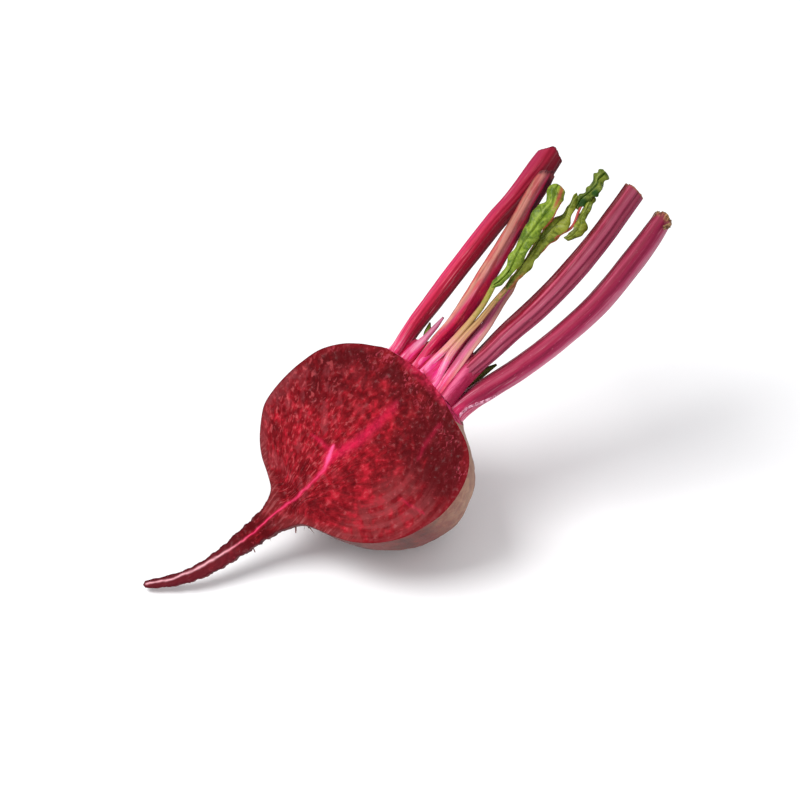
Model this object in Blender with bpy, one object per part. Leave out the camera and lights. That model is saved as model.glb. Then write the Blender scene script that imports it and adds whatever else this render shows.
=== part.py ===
"""Half a beetroot cut lengthwise, with its taproot, its cut leaf stalks and two young leaves.

The half lies on its skin, cut face up and to one side, with the stalks raised and the tip of
the taproot just clear of the surface. Every piece is drawn in the frame of the cut, in
millimetres: X runs along the root towards the crown, Y runs across the cut, and Z points out
of the cut face. An empty turns that frame into the resting pose.
"""
from math import atan2, cos, hypot, pi, radians, sin

import bmesh
import bpy
import numpy as np
from mathutils import Euler, Vector

MM = 0.001

# Resting pose: the turns of the cut's frame, and where its origin stands over the surface.
LEAN = 15.3
CROWN_RISE = 33.5
HEADING = 31.9
FACE_CENTRE = (-6.3, -10.0, 41.6)

# The swollen root from the crown's rim to the neck: along, centre across, half width.
BULB = (
    (29.4, 2.7, 19.6),
    (27.2, 0.3, 25.2),
    (24.0, -0.2, 30.4),
    (19.0, 0.3, 35.2),
    (12.0, 1.1, 38.7),
    (4.0, 1.5, 40.0),
    (-3.0, 2.3, 39.7),
    (-10.0, 3.1, 38.4),
    (-16.0, 4.0, 36.0),
    (-21.0, 4.2, 32.1),
    (-26.0, 4.5, 26.7),
    (-29.5, 5.0, 20.9),
    (-32.2, 5.0, 14.3),
    (-34.8, 5.1, 9.3),
    (-38.5, 5.3, 6.9),
)
# The taproot from the neck to its tip: along, across, out of the cut, radius.
TAPROOT = (
    (-43.0, 5.9, 0.0, 5.4),
    (-48.0, 6.5, 0.3, 4.6),
    (-55.0, 7.0, 1.1, 4.0),
    (-62.0, 7.4, 2.4, 3.4),
    (-69.8, 8.4, 4.2, 2.9),
    (-75.7, 10.0, 5.7, 2.5),
    (-80.5, 12.3, 6.5, 2.2),
    (-84.8, 14.9, 7.5, 1.9),
    (-88.0, 17.1, 8.3, 1.6),
    (-89.8, 18.5, 8.8, 1.3),
)
BULB_STEPS = 2
TAPROOT_STEPS = 3
FACE_SEGMENTS = 24
SKIN_SEGMENTS = 20
CUT_OFFSET = 0.18
BACK_DEPTH = 0.985
BACK_TUCK = 0.13
BACK_LEAN = 0.04
NECK_START = -36.0
NECK_END = -48.0

# Relief of the root: growth rings on the cut, lumps and collars on the skin, taproot wrinkles.
RING_CENTRE = (-1.0, 2.0)
RING_REACH = (37.0, 40.0)
RING_COUNT = 6
RING_DEPTH = 0.14
LUMP = 0.012
COLLAR_DEPTH = 0.5
COLLAR_PITCH = 2.4
WRINKLE = 0.07
WRINKLE_PITCH = 5.2

# The crown's end, a low dome that the stalks stand on.
CROWN_TOP = 33.2
CROWN_CENTRE = (2.7, -8.0)
CROWN_RADIUS = 19.6
CROWN_DROP = 3.4
CROWN_CAP_RINGS = 4
GAP = 0.35

# Side rootlets: station along, turn round the skin in degrees, length, base radius.
ROOTLETS = (
    (-33.0, 200.0, 4.4, 0.8),
    (-36.0, 168.0, 3.2, 0.5),
    (-41.0, 250.0, 3.6, 0.5),
    (-34.0, 240.0, 4.5, 0.7),
    (-45.0, 285.0, 3.4, 0.5),
    (-38.0, 320.0, 4.2, 0.6),
    (-53.0, 235.0, 3.0, 0.45),
    (-61.0, 300.0, 2.6, 0.4),
)
ROOTLET_SIDES = 6
ROOTLET_SINK = 1.5

# Scars of old leaves round the back of the crown: turn in degrees and height.
SCARS = ((251.0, 3.0), (273.0, 3.8), (294.0, 2.8), (315.0, 3.4))
SCAR_STATION = 29.6
SCAR_WIDTH = 7.0
SCAR_THICKNESS = 1.8

# Cut stalks: centreline (along, across, out of the cut) with the half width seen from the front.
STALKS = {
    "stalk_a": {
        "line": (
            (31.0, 19.0, -4.0, 2.6), (40.7, 21.3, -4.0, 3.0), (54.0, 23.5, -4.2, 3.4),
            (71.7, 26.2, -4.5, 3.5), (89.5, 28.7, -5.0, 3.5), (99.2, 29.3, -5.3, 3.7),
            (107.4, 29.9, -5.6, 4.0), (114.9, 30.7, -5.8, 4.1), (121.4, 32.8, -6.0, 3.4),
        ),
        "facing": -70.0, "cut": 0.0, "colour": (0.46, 0.02, 0.075),
    },
    "stalk_b": {
        "line": (
            (33.0, 8.2, -3.4, 2.4), (39.1, 9.5, -3.6, 2.6), (45.6, 10.0, -3.6, 3.0),
            (54.0, 10.4, -3.6, 3.4), (63.7, 12.5, -3.6, 3.6), (71.8, 14.8, -3.4, 3.4),
            (79.8, 16.9, -3.0, 3.1), (87.9, 18.9, -2.5, 3.0), (95.7, 20.9, -1.9, 3.0),
            (103.5, 23.0, -1.2, 3.1), (109.7, 24.3, -0.6, 3.1), (114.7, 25.4, -0.2, 2.7),
        ),
        "facing": -58.0, "cut": -12.0, "colour": (0.55, 0.05, 0.12),
    },
    "stalk_c": {
        "line": (
            (32.5, -5.9, -4.7, 2.6), (41.4, -5.1, -4.8, 3.0), (46.9, -5.0, -4.7, 3.6),
            (55.4, -5.5, -4.4, 4.1), (65.1, -5.9, -4.0, 4.4), (79.7, -7.0, -3.2, 4.7),
            (94.7, -7.0, -2.4, 4.8), (110.5, -5.7, -1.6, 4.6), (130.5, -2.6, -0.6, 4.4),
        ),
        "facing": 55.0, "cut": -6.0, "colour": (0.36, 0.05, 0.10),
    },
    "stalk_d": {
        "line": (
            (31.6, -10.3, -10.2, 4.0), (38.9, -11.4, -10.1, 4.3), (46.7, -13.2, -9.9, 4.5),
            (58.7, -16.1, -9.6, 4.5), (76.0, -18.8, -9.2, 4.6), (95.1, -19.7, -8.8, 4.7),
            (117.1, -17.5, -8.0, 4.6), (131.6, -15.0, -7.3, 3.7),
        ),
        "facing": 62.0, "cut": 14.0, "colour": (0.34, 0.045, 0.09),
    },
}
STALK_SIDES = 24
STALK_STATIONS = 16
STALK_RIBS = 7
RIB_HEIGHT = 0.06
CHANNEL_DEPTH = 0.42
CHANNEL_WIDTH = 0.5
WIDTH_RATIO = 1.08
THICKNESS_RATIO = 0.96
END_RAG = 0.5
END_CUP = 0.9
RAG_SEED = 11

# Thin stalks: the same columns, and the thickness as a share of the width.
THIN_STALKS = {
    "petiole_1": {
        "line": (
            (33.6, 5.0, -1.2, 1.4), (38.2, 5.0, -0.6, 1.2), (44.1, 5.1, -0.2, 0.9),
            (49.6, 5.1, 0.2, 0.8), (54.4, 5.2, 0.6, 0.8), (59.1, 5.4, 1.0, 0.8),
            (63.6, 5.8, 1.5, 0.8), (67.5, 6.6, 2.1, 0.8), (70.0, 7.6, 2.6, 0.8),
        ),
        "flat": 0.85, "colour": (0.66, 0.46, 0.22),
    },
    "petiole_2": {
        "line": (
            (33.6, -0.6, -1.2, 1.5), (38.5, 0.8, -0.7, 1.3), (44.1, 2.4, -0.3, 0.95),
            (49.6, 3.1, 0.1, 0.8), (54.4, 3.3, 0.4, 0.8), (59.1, 3.4, 0.6, 0.8),
            (63.6, 3.7, 0.7, 0.8), (68.0, 4.3, 0.4, 0.8), (73.0, 5.2, -0.2, 0.8),
        ),
        "flat": 0.85, "colour": (0.66, 0.44, 0.24),
    },
    "withered_stalk": {
        "line": (
            (33.4, -3.9, -1.2, 1.4), (38.0, -3.1, -1.2, 1.6), (44.9, -1.9, -1.4, 1.7),
            (51.4, -0.5, -1.8, 1.8), (58.4, 0.7, -2.4, 1.8), (63.2, 2.1, -3.2, 1.7), (71.2, 4.5, -4.2, 1.5),
            (75.5, 5.4, -4.4, 1.4), (79.5, 6.6, -4.6, 0.7),
        ),
        "flat": 0.45, "colour": (0.45, 0.14, 0.20),
    },
    "stalk_stub": {
        "line": (
            (31.8, 13.7, -2.4, 2.3), (35.8, 13.9, -1.7, 1.9), (42.3, 13.9, -1.2, 1.2),
            (47.4, 14.1, -1.0, 0.9), (51.9, 14.5, -0.8, 0.5),
        ),
        "flat": 0.5, "colour": (0.52, 0.06, 0.16),
    },
    "bud_1": {
        "line": (
            (32.2, 14.6, -8.0, 1.0), (37.0, 15.2, -7.8, 0.9), (41.5, 16.4, -7.6, 1.0),
            (44.2, 17.9, -7.5, 1.2), (47.2, 19.8, -7.5, 0.35),
        ),
        "flat": 0.7, "colour": (0.10, 0.17, 0.03),
    },
    "bud_2": {
        "line": (
            (32.0, -4.6, -13.4, 1.1), (37.0, -5.4, -13.0, 1.0), (42.0, -6.2, -12.6, 1.1),
            (47.5, -6.6, -12.2, 1.4), (53.5, -8.2, -12.0, 0.4),
        ),
        "flat": 0.6, "colour": (0.05, 0.09, 0.02),
    },
}
THIN_SIDES = 12
THIN_STATIONS = 12

# Leaf blades: midrib (along, across, out of the cut) with the half width across it.
LEAF_1 = (
    (70.4, 7.9, 2.6, 0.9), (74.0, 8.5, 2.9, 2.5), (81.0, 9.0, 3.3, 2.6), (87.3, 10.0, 3.6, 3.4),
    (93.8, 11.8, 3.8, 3.9), (100.4, 13.4, 3.9, 3.3), (106.3, 14.6, 3.8, 3.6),
    (110.4, 17.1, 3.6, 3.3), (112.8, 18.6, 3.4, 1.8),
)
LEAF_2_MAIN = (
    (73.4, 5.3, -0.2, 0.8), (79.0, 5.2, -0.5, 1.7), (86.0, 5.8, -0.8, 2.2), (92.4, 6.4, -0.9, 2.2),
    (97.0, 6.0, -1.1, 1.7), (101.0, 5.0, -1.2, 1.2), (104.6, 3.8, -1.2, 1.1),
    (108.8, 4.4, -1.0, 1.0), (113.8, 6.5, -0.8, 1.6), (118.8, 8.0, -0.6, 2.4),
    (122.3, 9.0, -0.4, 1.9), (125.6, 9.4, -0.3, 2.9), (128.2, 9.8, -0.4, 1.3),
)
LEAF_2_LEFT = (
    (84.0, 6.0, -0.4, 0.8), (91.0, 7.7, -0.1, 2.0), (98.0, 9.1, 0.1, 2.6), (103.0, 9.2, 0.1, 2.3),
    (107.6, 8.8, 0.0, 1.7), (112.4, 10.0, -0.2, 1.8), (115.9, 11.5, -0.4, 0.8),
)
LEAF_2_RIGHT = (
    (99.6, 5.3, -1.4, 0.8), (104.2, 2.4, -1.8, 2.0), (108.4, 1.2, -1.9, 2.3),
    (111.8, 1.8, -1.6, 0.8),
)
BLADE_THICKNESS = 0.7
BLADE_SPANS = 8
MIDRIB = 0.45
FOLD = 0.42
RUFFLE = 0.55
RUFFLE_PITCH = 7.5
NOTCH = 0.14
NOTCH_PITCH = 5.2
LEAF_GREEN = (0.17, 0.24, 0.035)
DARK_GREEN = (0.12, 0.19, 0.03)

# The surface that the root lies on trims a small flat spot off the skin.
TRIM_SIZE = 200.0


def clear_scene():
    for old in list(bpy.data.objects):
        bpy.data.objects.remove(old, do_unlink=True)


def finish(name, colour, roughness, metallic=0.0):
    """Principled material with the colour, roughness and metallic value of one piece."""
    material = bpy.data.materials.new(name)
    material.use_nodes = True
    shader = material.node_tree.nodes["Principled BSDF"]
    shader.inputs["Base Color"].default_value = (*colour, 1.0)
    shader.inputs["Roughness"].default_value = roughness
    shader.inputs["Metallic"].default_value = metallic
    return material


def add_object(name, bm, pose, material, sharp=40.0):
    """Turn a bmesh in millimetres into a smooth-shaded object held by the pose's empty."""
    bmesh.ops.recalc_face_normals(bm, faces=bm.faces)
    bmesh.ops.scale(bm, vec=(MM, MM, MM), verts=bm.verts)
    mesh = bpy.data.meshes.new(name)
    bm.to_mesh(mesh)
    bm.free()
    mesh.shade_smooth()
    mesh.set_sharp_from_angle(angle=radians(sharp))
    if material:
        mesh.materials.append(material)
    piece = bpy.data.objects.new(name, mesh)
    bpy.context.scene.collection.objects.link(piece)
    piece.parent = pose
    return piece


def smooth_rows(rows, steps):
    """Points on a Catmull-Rom curve through the rows, with the given steps in each span."""
    rows = np.array(rows, dtype=float)
    spans = len(rows) - 1
    steps = [steps] * spans if isinstance(steps, int) else steps
    padded = np.vstack([2 * rows[0] - rows[1], rows, 2 * rows[-1] - rows[-2]])
    points = []
    for span in range(spans):
        p0, p1, p2, p3 = padded[span:span + 4]
        for step in range(steps[span]):
            t = step / steps[span]
            points.append(0.5 * (
                2 * p1 + (p2 - p0) * t + (2 * p0 - 5 * p1 + 4 * p2 - p3) * t ** 2
                + (3 * p1 - p0 - 3 * p2 + p3) * t ** 3))
    points.append(rows[-1])
    return np.array(points)


def even_rows(rows, count):
    """The same curve, cut into an even number of stations by length."""
    fine = smooth_rows(rows, 12)
    length = np.concatenate([[0], np.cumsum(np.linalg.norm(np.diff(fine[:, :3], axis=0), axis=1))])
    targets = np.linspace(0, length[-1], count)
    return np.array([[np.interp(t, length, fine[:, k]) for k in range(fine.shape[1])]
                     for t in targets])


def smoothstep(low, high, value):
    t = min(max((value - low) / (high - low), 0.0), 1.0)
    return t * t * (3 - 2 * t)


def unit(vector):
    return vector / np.linalg.norm(vector)


def tangents(points):
    return np.array([unit(step) for step in np.gradient(points[:, :3], axis=0)])


def bridge_rings(bm, rings):
    """Skin a list of closed rings of vertices with quads."""
    count = len(rings[0])
    for near, far in zip(rings, rings[1:]):
        for k in range(count):
            bm.faces.new((near[k], near[(k + 1) % count], far[(k + 1) % count], far[k]))


def close_ring(bm, ring, centre):
    """Close a ring with a fan of triangles to one point."""
    middle = bm.verts.new(centre)
    for k in range(len(ring)):
        bm.faces.new((ring[k], ring[(k + 1) % len(ring)], middle))


def crown_x(across, out):
    """Height of the crown's dome along the root."""
    spread = hypot(across - CROWN_CENTRE[0], out - CROWN_CENTRE[1])
    return CROWN_TOP - CROWN_DROP * (spread / CROWN_RADIUS) ** 2


def root_rows():
    """Stations of the whole root: along, across, out of the cut, half width."""
    bulb = [(x, y, 0.0, w) for x, y, w in BULB]
    steps = [BULB_STEPS] * len(bulb) + [TAPROOT_STEPS] * (len(TAPROOT) - 1)
    return smooth_rows(bulb + list(TAPROOT), steps)


def ring_relief(x, y, edge):
    """Depth of the growth rings on the cut face, fading at its edge and on the taproot."""
    spread = hypot((x - RING_CENTRE[0]) / RING_REACH[0], (y - RING_CENTRE[1]) / RING_REACH[1])
    fade = min(1.0, 6.0 * (1.0 - edge)) * smoothstep(-44.0, -30.0, x)
    return RING_DEPTH * fade * sin(2 * pi * RING_COUNT * spread)


def skin_swell(x, turn, edge):
    """Swelling of the skin: low lumps and leaf collars, and the taproot's wrinkles."""
    lumps = LUMP * (sin(2 * turn + 0.09 * x) + 0.6 * sin(3 * turn - 0.13 * x + 1.0))
    lumps *= smoothstep(NECK_END, NECK_START, x)
    collar = COLLAR_DEPTH / 25.0 * sin(2 * pi * x / COLLAR_PITCH) * smoothstep(20.0, 27.0, x)
    wave = sin(2 * pi * x / WRINKLE_PITCH + 1.4 * sin(turn) + 0.8 * sin(0.5 * x))
    wrinkle = WRINKLE * wave * smoothstep(NECK_START, NECK_END, x)
    return 1.0 + (lumps + collar) * edge + wrinkle


def section(x, half_width):
    """One cross-section: points (across, out of the cut) round the flat face and the skin."""
    offset = CUT_OFFSET * half_width
    radius = hypot(half_width, offset)
    start = atan2(offset, half_width)
    points = []
    for k in range(FACE_SEGMENTS):
        points.append((half_width * (1.0 - 2.0 * k / FACE_SEGMENTS), 0.0))
    for k in range(SKIN_SEGMENTS):
        turn = pi - start + (pi + 2 * start) * k / SKIN_SEGMENTS
        swell = skin_swell(x, turn, sin(pi * k / SKIN_SEGMENTS) ** 0.5)
        points.append((radius * cos(turn) * swell, (radius * sin(turn) - offset) * BACK_DEPTH * swell))
    swell = points[FACE_SEGMENTS][0] / -half_width
    return [(b * swell, n) if k < FACE_SEGMENTS else (b, n) for k, (b, n) in enumerate(points)]


def station_frames(rows):
    """Directions across and out of the cut at each station, turning with the taproot's bend."""
    frames = []
    for row, tangent in zip(rows, -tangents(rows)):
        bend = smoothstep(NECK_START, NECK_END, row[0])
        ahead = unit((1 - bend) * np.array([1.0, 0.0, 0.0]) + bend * tangent)
        across = unit(np.cross([0.0, 0.0, 1.0], ahead))
        frames.append((across, np.cross(ahead, across)))
    return frames


def back_shift(x, depth):
    """The back's depth draws it towards the taproot near the crown, and sideways behind the cut."""
    tuck = BACK_TUCK * depth * smoothstep(2.0, 14.0, x) * (1.0 - smoothstep(26.5, 29.4, x))
    lean = BACK_LEAN * depth * (1.0 - smoothstep(-5.0, 15.0, x)) * smoothstep(-40.0, -25.0, x)
    return np.array([-tuck, -lean, 0.0])


def root_rings():
    """Rings of points from the crown's rim to the taproot's tip."""
    rows = root_rows()
    rings = []
    for index, (row, (across, out)) in enumerate(zip(rows, station_frames(rows))):
        ring = []
        for k, (b, n) in enumerate(section(row[0], row[3])):
            point = row[:3] + b * across + n * out
            if k < FACE_SEGMENTS:
                point = point + ring_relief(point[0], point[1], abs(b) / row[3]) * out
            else:
                point = point + back_shift(row[0], max(-n, 0.0))
            if index == 0:
                point[0] = crown_x(point[1], point[2])
            ring.append(point)
        rings.append(ring)
    return rings


def crown_cap_rings(rim):
    """Rings that close the crown's end, from near its centre out to the rim."""
    centre = np.array([CROWN_TOP, *CROWN_CENTRE])
    rings = []
    for step in range(1, CROWN_CAP_RINGS + 1):
        share = step / (CROWN_CAP_RINGS + 1)
        ring = [centre + share * (point - centre) for point in rim]
        rings.append([np.array([crown_x(p[1], p[2]), p[1], p[2]]) for p in ring])
    return rings


def cone(name, base, direction, length, radius, sides, pose):
    """A tapered rootlet with a blunt end, its root sunk in what it grows from."""
    bm = bmesh.new()
    side = unit(np.cross(direction, [0.3, 0.2, 1.0]))
    other = np.cross(direction, side)
    rings = []
    for reach, width in ((-ROOTLET_SINK, 1.0), (length * 0.5, 0.55), (length, 0.25)):
        ring = []
        for k in range(sides):
            turn = 2 * pi * k / sides
            ring.append(bm.verts.new(
                base + reach * direction + radius * width * (cos(turn) * side + sin(turn) * other)))
        rings.append(ring)
    bridge_rings(bm, rings)
    close_ring(bm, rings[0], base - ROOTLET_SINK * direction)
    close_ring(bm, rings[-1], base + length * direction)
    return add_object(name, bm, pose, None)


def skin_point(along, turn):
    """A point on the skin and the direction straight out of it."""
    rows = root_rows()
    index = int(np.argmin(abs(rows[:, 0] - along)))
    across, out = station_frames(rows)[index]
    direction = cos(turn) * across + sin(turn) * out
    return rows[index, :3] + rows[index, 3] * 0.97 * direction, direction


def rootlets(pose):
    bits = []
    for number, (along, turn, length, radius) in enumerate(ROOTLETS):
        base, direction = skin_point(along, radians(turn))
        lean = unit(direction + np.array([-0.5, 0.0, 0.0]))
        bits.append(cone(f"rootlet_{number}", base, lean, length, radius, ROOTLET_SIDES, pose))
    return bits


def scar(name, turn, height, pose):
    """The dry base of an old leaf: a thin curved flap standing on the crown's shoulder."""
    bm = bmesh.new()
    base, direction = skin_point(SCAR_STATION, turn)
    along = np.array([1.0, 0.0, 0.0])
    side = np.cross(along, direction)
    rings = []
    for reach, width, thick in ((-2.5, 1.0, 1.0), (0.4 * height, 0.9, 0.8), (height, 0.45, 0.4)):
        ring = []
        for k in range(10):
            angle = 2 * pi * k / 10
            across = 0.5 * SCAR_WIDTH * width * cos(angle)
            bow = -0.025 * across ** 2
            ring.append(bm.verts.new(
                base + across * side + (bow - 0.8 + 0.5 * SCAR_THICKNESS * thick * sin(angle)) * direction
                + reach * along))
        rings.append(ring)
    bridge_rings(bm, rings)
    for ring, reach in ((rings[0], -2.5), (rings[-1], height)):
        close_ring(bm, ring, base - 0.8 * direction + reach * along)
    return add_object(name, bm, pose, None)


def outer_skin(mesh):
    """Keep the largest connected surface: sealed hollows are filled and loose scraps dropped."""
    bm = bmesh.new()
    bm.from_mesh(mesh)
    unseen = set(bm.faces)
    islands = []
    while unseen:
        queue = [unseen.pop()]
        island = []
        while queue:
            face = queue.pop()
            island.append(face)
            for edge in face.edges:
                linked = [other for other in edge.link_faces if other in unseen]
                unseen.difference_update(linked)
                queue.extend(linked)
        islands.append(island)
    islands.sort(key=lambda faces: sum(face.calc_area() for face in faces))
    for island in islands[:-1]:
        bmesh.ops.delete(bm, geom=island, context="FACES")
    bm.to_mesh(mesh)
    bm.free()


def fuse(piece, bits, solver="EXACT"):
    """Join small pieces to the one that they grow from, with one union, and remove them."""
    group = bpy.data.collections.new(piece.name + "_bits")
    bpy.context.scene.collection.children.link(group)
    for bit in bits:
        group.objects.link(bit)
    union = piece.modifiers.new("fuse", "BOOLEAN")
    union.operation = "UNION"
    union.operand_type = "COLLECTION"
    union.collection = group
    union.solver = solver
    bpy.context.view_layer.update()
    shape = bpy.data.meshes.new_from_object(
        piece.evaluated_get(bpy.context.evaluated_depsgraph_get()))
    piece.modifiers.remove(union)
    outer_skin(shape)
    piece.data = shape
    for bit in bits:
        bpy.data.objects.remove(bit, do_unlink=True)
    bpy.data.collections.remove(group)
    return piece


def make_root(pose):
    bm = bmesh.new()
    rings = root_rings()
    caps = crown_cap_rings(rings[0])
    rings = [[bm.verts.new(point) for point in ring] for ring in caps + rings]
    bridge_rings(bm, rings)
    close_ring(bm, rings[0], (CROWN_TOP, *CROWN_CENTRE))
    close_ring(bm, rings[-1], np.mean([vert.co for vert in rings[-1]], axis=0) + np.array([-0.6, 0.5, -0.1]))
    root = add_object("root", bm, pose, finish("beet_root", (0.30, 0.02, 0.03), 0.45))
    bits = rootlets(pose)
    bits += [scar(f"scar_{k}", radians(turn), height, pose) for k, (turn, height) in enumerate(SCARS)]
    return fuse(root, bits)


def stalk_section(half_width, half_depth):
    """A ribbed crescent: channel on the side that faces the plant's middle."""
    points = []
    for k in range(STALK_SIDES):
        turn = 2 * pi * k / STALK_SIDES
        rib = 1.0 + RIB_HEIGHT * cos(STALK_RIBS * turn)
        p = half_width * cos(turn) * rib
        q = half_depth * sin(turn) * rib
        if sin(turn) > 0:
            q -= CHANNEL_DEPTH * half_depth * np.exp(-(p / (CHANNEL_WIDTH * half_width)) ** 2)
        points.append((p, q))
    return points


def round_section(half_width, half_depth):
    return [(half_width * cos(2 * pi * k / THIN_SIDES), half_depth * sin(2 * pi * k / THIN_SIDES))
            for k in range(THIN_SIDES)]


def swept_rings(line, facing, section_of):
    """Rings of a section carried along a centreline, its channel turned to the facing angle."""
    face = np.array([0.0, sin(radians(facing)), cos(radians(facing))])
    rings = []
    for row, tangent in zip(line, tangents(line)):
        depth_way = unit(face - np.dot(face, tangent) * tangent)
        width_way = np.cross(tangent, depth_way)
        rings.append([row[:3] + p * width_way + q * depth_way for p, q in section_of(row[3])])
    return rings


def seat_on_crown(ring):
    """Lay a stalk's first ring on the crown's dome, a hair clear of it."""
    return [np.array([crown_x(p[1], p[2]) + GAP, p[1], p[2]]) for p in ring]


def make_stalk(name, spec, pose, rag):
    """A ribbed, channelled stalk from the crown to its slanting, slightly ragged cut end."""
    line = even_rows(spec["line"], STALK_STATIONS)
    rings = swept_rings(
        line, spec["facing"],
        lambda half: stalk_section(WIDTH_RATIO * half, THICKNESS_RATIO * half))
    rings[0] = seat_on_crown(rings[0])
    ahead = tangents(line)[-1]
    slope = np.tan(radians(spec["cut"]))
    middle = line[-1, :3]
    rings[-1] = [p + ahead * (slope * (p[1] - middle[1]) + END_RAG * rag.uniform(-1.0, 1.0))
                 for p in rings[-1]]
    bm = bmesh.new()
    loops = [[bm.verts.new(p) for p in ring] for ring in rings]
    cup = [middle + 0.6 * (p - middle) - 0.4 * END_CUP * ahead for p in rings[-1]]
    loops.append([bm.verts.new(p) for p in cup])
    bridge_rings(bm, loops)
    base = np.mean(rings[0], axis=0)
    close_ring(bm, loops[0], (crown_x(base[1], base[2]) + GAP, base[1], base[2]))
    close_ring(bm, loops[-1], middle - END_CUP * ahead)
    return add_object(name, bm, pose, finish(name, spec["colour"], 0.42))


def make_thin_stalk(name, spec, pose):
    """A thin round or flat stalk that stands on the crown and ends blunt."""
    line = even_rows(spec["line"], THIN_STATIONS)
    rings = swept_rings(line, 0.0, lambda half: round_section(half, half * spec["flat"]))
    rings[0] = seat_on_crown(rings[0])
    bm = bmesh.new()
    loops = [[bm.verts.new(p) for p in ring] for ring in rings]
    bridge_rings(bm, loops)
    base = np.mean(rings[0], axis=0)
    close_ring(bm, loops[0], (crown_x(base[1], base[2]) + GAP, base[1], base[2]))
    close_ring(bm, loops[-1], line[-1, :3])
    return add_object(name, bm, pose, finish(name, spec["colour"], 0.5))


def blade_grid(rows, stations, fold, ruffle, phase):
    """The middle surface of a folded, ruffled blade as a grid of points."""
    line = even_rows(rows, stations)
    grid = []
    for row, ahead in zip(line, tangents(line)):
        side = unit(np.cross([0.0, 0.0, 1.0], ahead))
        out = np.cross(ahead, side)
        points = []
        for k in range(-BLADE_SPANS // 2, BLADE_SPANS // 2 + 1):
            v = 2.0 * k / BLADE_SPANS
            notch = 1.0 + NOTCH * sin(2 * pi * row[0] / NOTCH_PITCH + phase + 2.0 * np.sign(v))
            across = row[3] * v * notch
            wave = sin(2 * pi * row[0] / RUFFLE_PITCH + phase + 1.9 * np.sign(v))
            lift = -fold * abs(across) + ruffle * v * v * wave * min(1.0, row[3] / 2.0)
            points.append(row[:3] + across * side + lift * out)
        grid.append(points)
    return np.array(grid)


def make_blade(name, rows, stations, pose, material, fold=FOLD, ruffle=RUFFLE, phase=0.0):
    """A thin closed blade whose two faces are split into triangles alike."""
    grid = blade_grid(rows, stations, fold, ruffle, phase)
    normal = np.cross(np.gradient(grid, axis=0), np.gradient(grid, axis=1))
    normal /= np.linalg.norm(normal, axis=2, keepdims=True)
    rib = np.zeros(grid.shape[1])
    rib[grid.shape[1] // 2] = MIDRIB
    top = grid + 0.5 * BLADE_THICKNESS * normal
    low = grid - (0.5 * BLADE_THICKNESS + rib[None, :, None]) * normal
    bm = bmesh.new()
    upper = [[bm.verts.new(p) for p in row] for row in top]
    lower = [[bm.verts.new(p) for p in row] for row in low]
    for i in range(len(upper) - 1):
        for j in range(len(upper[0]) - 1):
            for sheet in (upper, lower):
                a, b = sheet[i][j], sheet[i + 1][j]
                c, d = sheet[i + 1][j + 1], sheet[i][j + 1]
                bm.faces.new((a, b, c))
                bm.faces.new((a, c, d))
    last = len(upper[0]) - 1
    rim = [(i, 0) for i in range(len(upper))]
    rim += [(len(upper) - 1, j) for j in range(1, last + 1)]
    rim += [(i, last) for i in range(len(upper) - 2, -1, -1)]
    rim += [(0, j) for j in range(last - 1, 0, -1)]
    for (i, j), (m, n) in zip(rim, rim[1:] + rim[:1]):
        bm.faces.new((upper[i][j], upper[m][n], lower[m][n]))
        bm.faces.new((upper[i][j], lower[m][n], lower[i][j]))
    return add_object(name, bm, pose, material, sharp=60.0)


def make_leaves(pose):
    make_blade("leaf_1", LEAF_1, 26, pose, finish("leaf_1", LEAF_GREEN, 0.5), phase=0.4)
    green = finish("leaf_2", DARK_GREEN, 0.5)
    leaf = make_blade("leaf_2", LEAF_2_MAIN, 30, pose, green, fold=0.2, phase=1.1)
    left = make_blade("lobe_left", LEAF_2_LEFT, 16, pose, None, fold=-0.25, phase=2.3)
    right = make_blade("lobe_right", LEAF_2_RIGHT, 9, pose, None, fold=0.3, phase=0.7)
    fuse(leaf, [left, right])


def resting_trim(piece):
    """Trim the skin along the surface, so that the root lies on a small flat spot."""
    mesh = bpy.data.meshes.new("surface_trim")
    bm = bmesh.new()
    bmesh.ops.create_cube(bm, size=TRIM_SIZE * MM)
    bmesh.ops.translate(bm, vec=(0.0, 0.0, -0.5 * TRIM_SIZE * MM), verts=bm.verts)
    bm.to_mesh(mesh)
    bm.free()
    cutter = bpy.data.objects.new("surface_trim", mesh)
    bpy.context.scene.collection.objects.link(cutter)
    cutter.hide_render = True
    cutter.display_type = "WIRE"
    trim = piece.modifiers.new("flat_spot", "BOOLEAN")
    trim.operation = "DIFFERENCE"
    trim.object = cutter
    trim.solver = "EXACT"


def resting_pose():
    """The empty that turns the cut's frame into the way the half lies."""
    pose = bpy.data.objects.new("resting_pose", None)
    bpy.context.scene.collection.objects.link(pose)
    pose.rotation_euler = Euler((radians(LEAN), radians(-CROWN_RISE), radians(HEADING)), "XYZ")
    pose.location = Vector(FACE_CENTRE) * MM
    return pose


def main():
    clear_scene()
    pose = resting_pose()
    resting_trim(make_root(pose))
    rag = np.random.default_rng(RAG_SEED)
    for name, spec in STALKS.items():
        make_stalk(name, spec, pose, rag)
    for name, spec in THIN_STALKS.items():
        make_thin_stalk(name, spec, pose)
    make_leaves(pose)


main()
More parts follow.
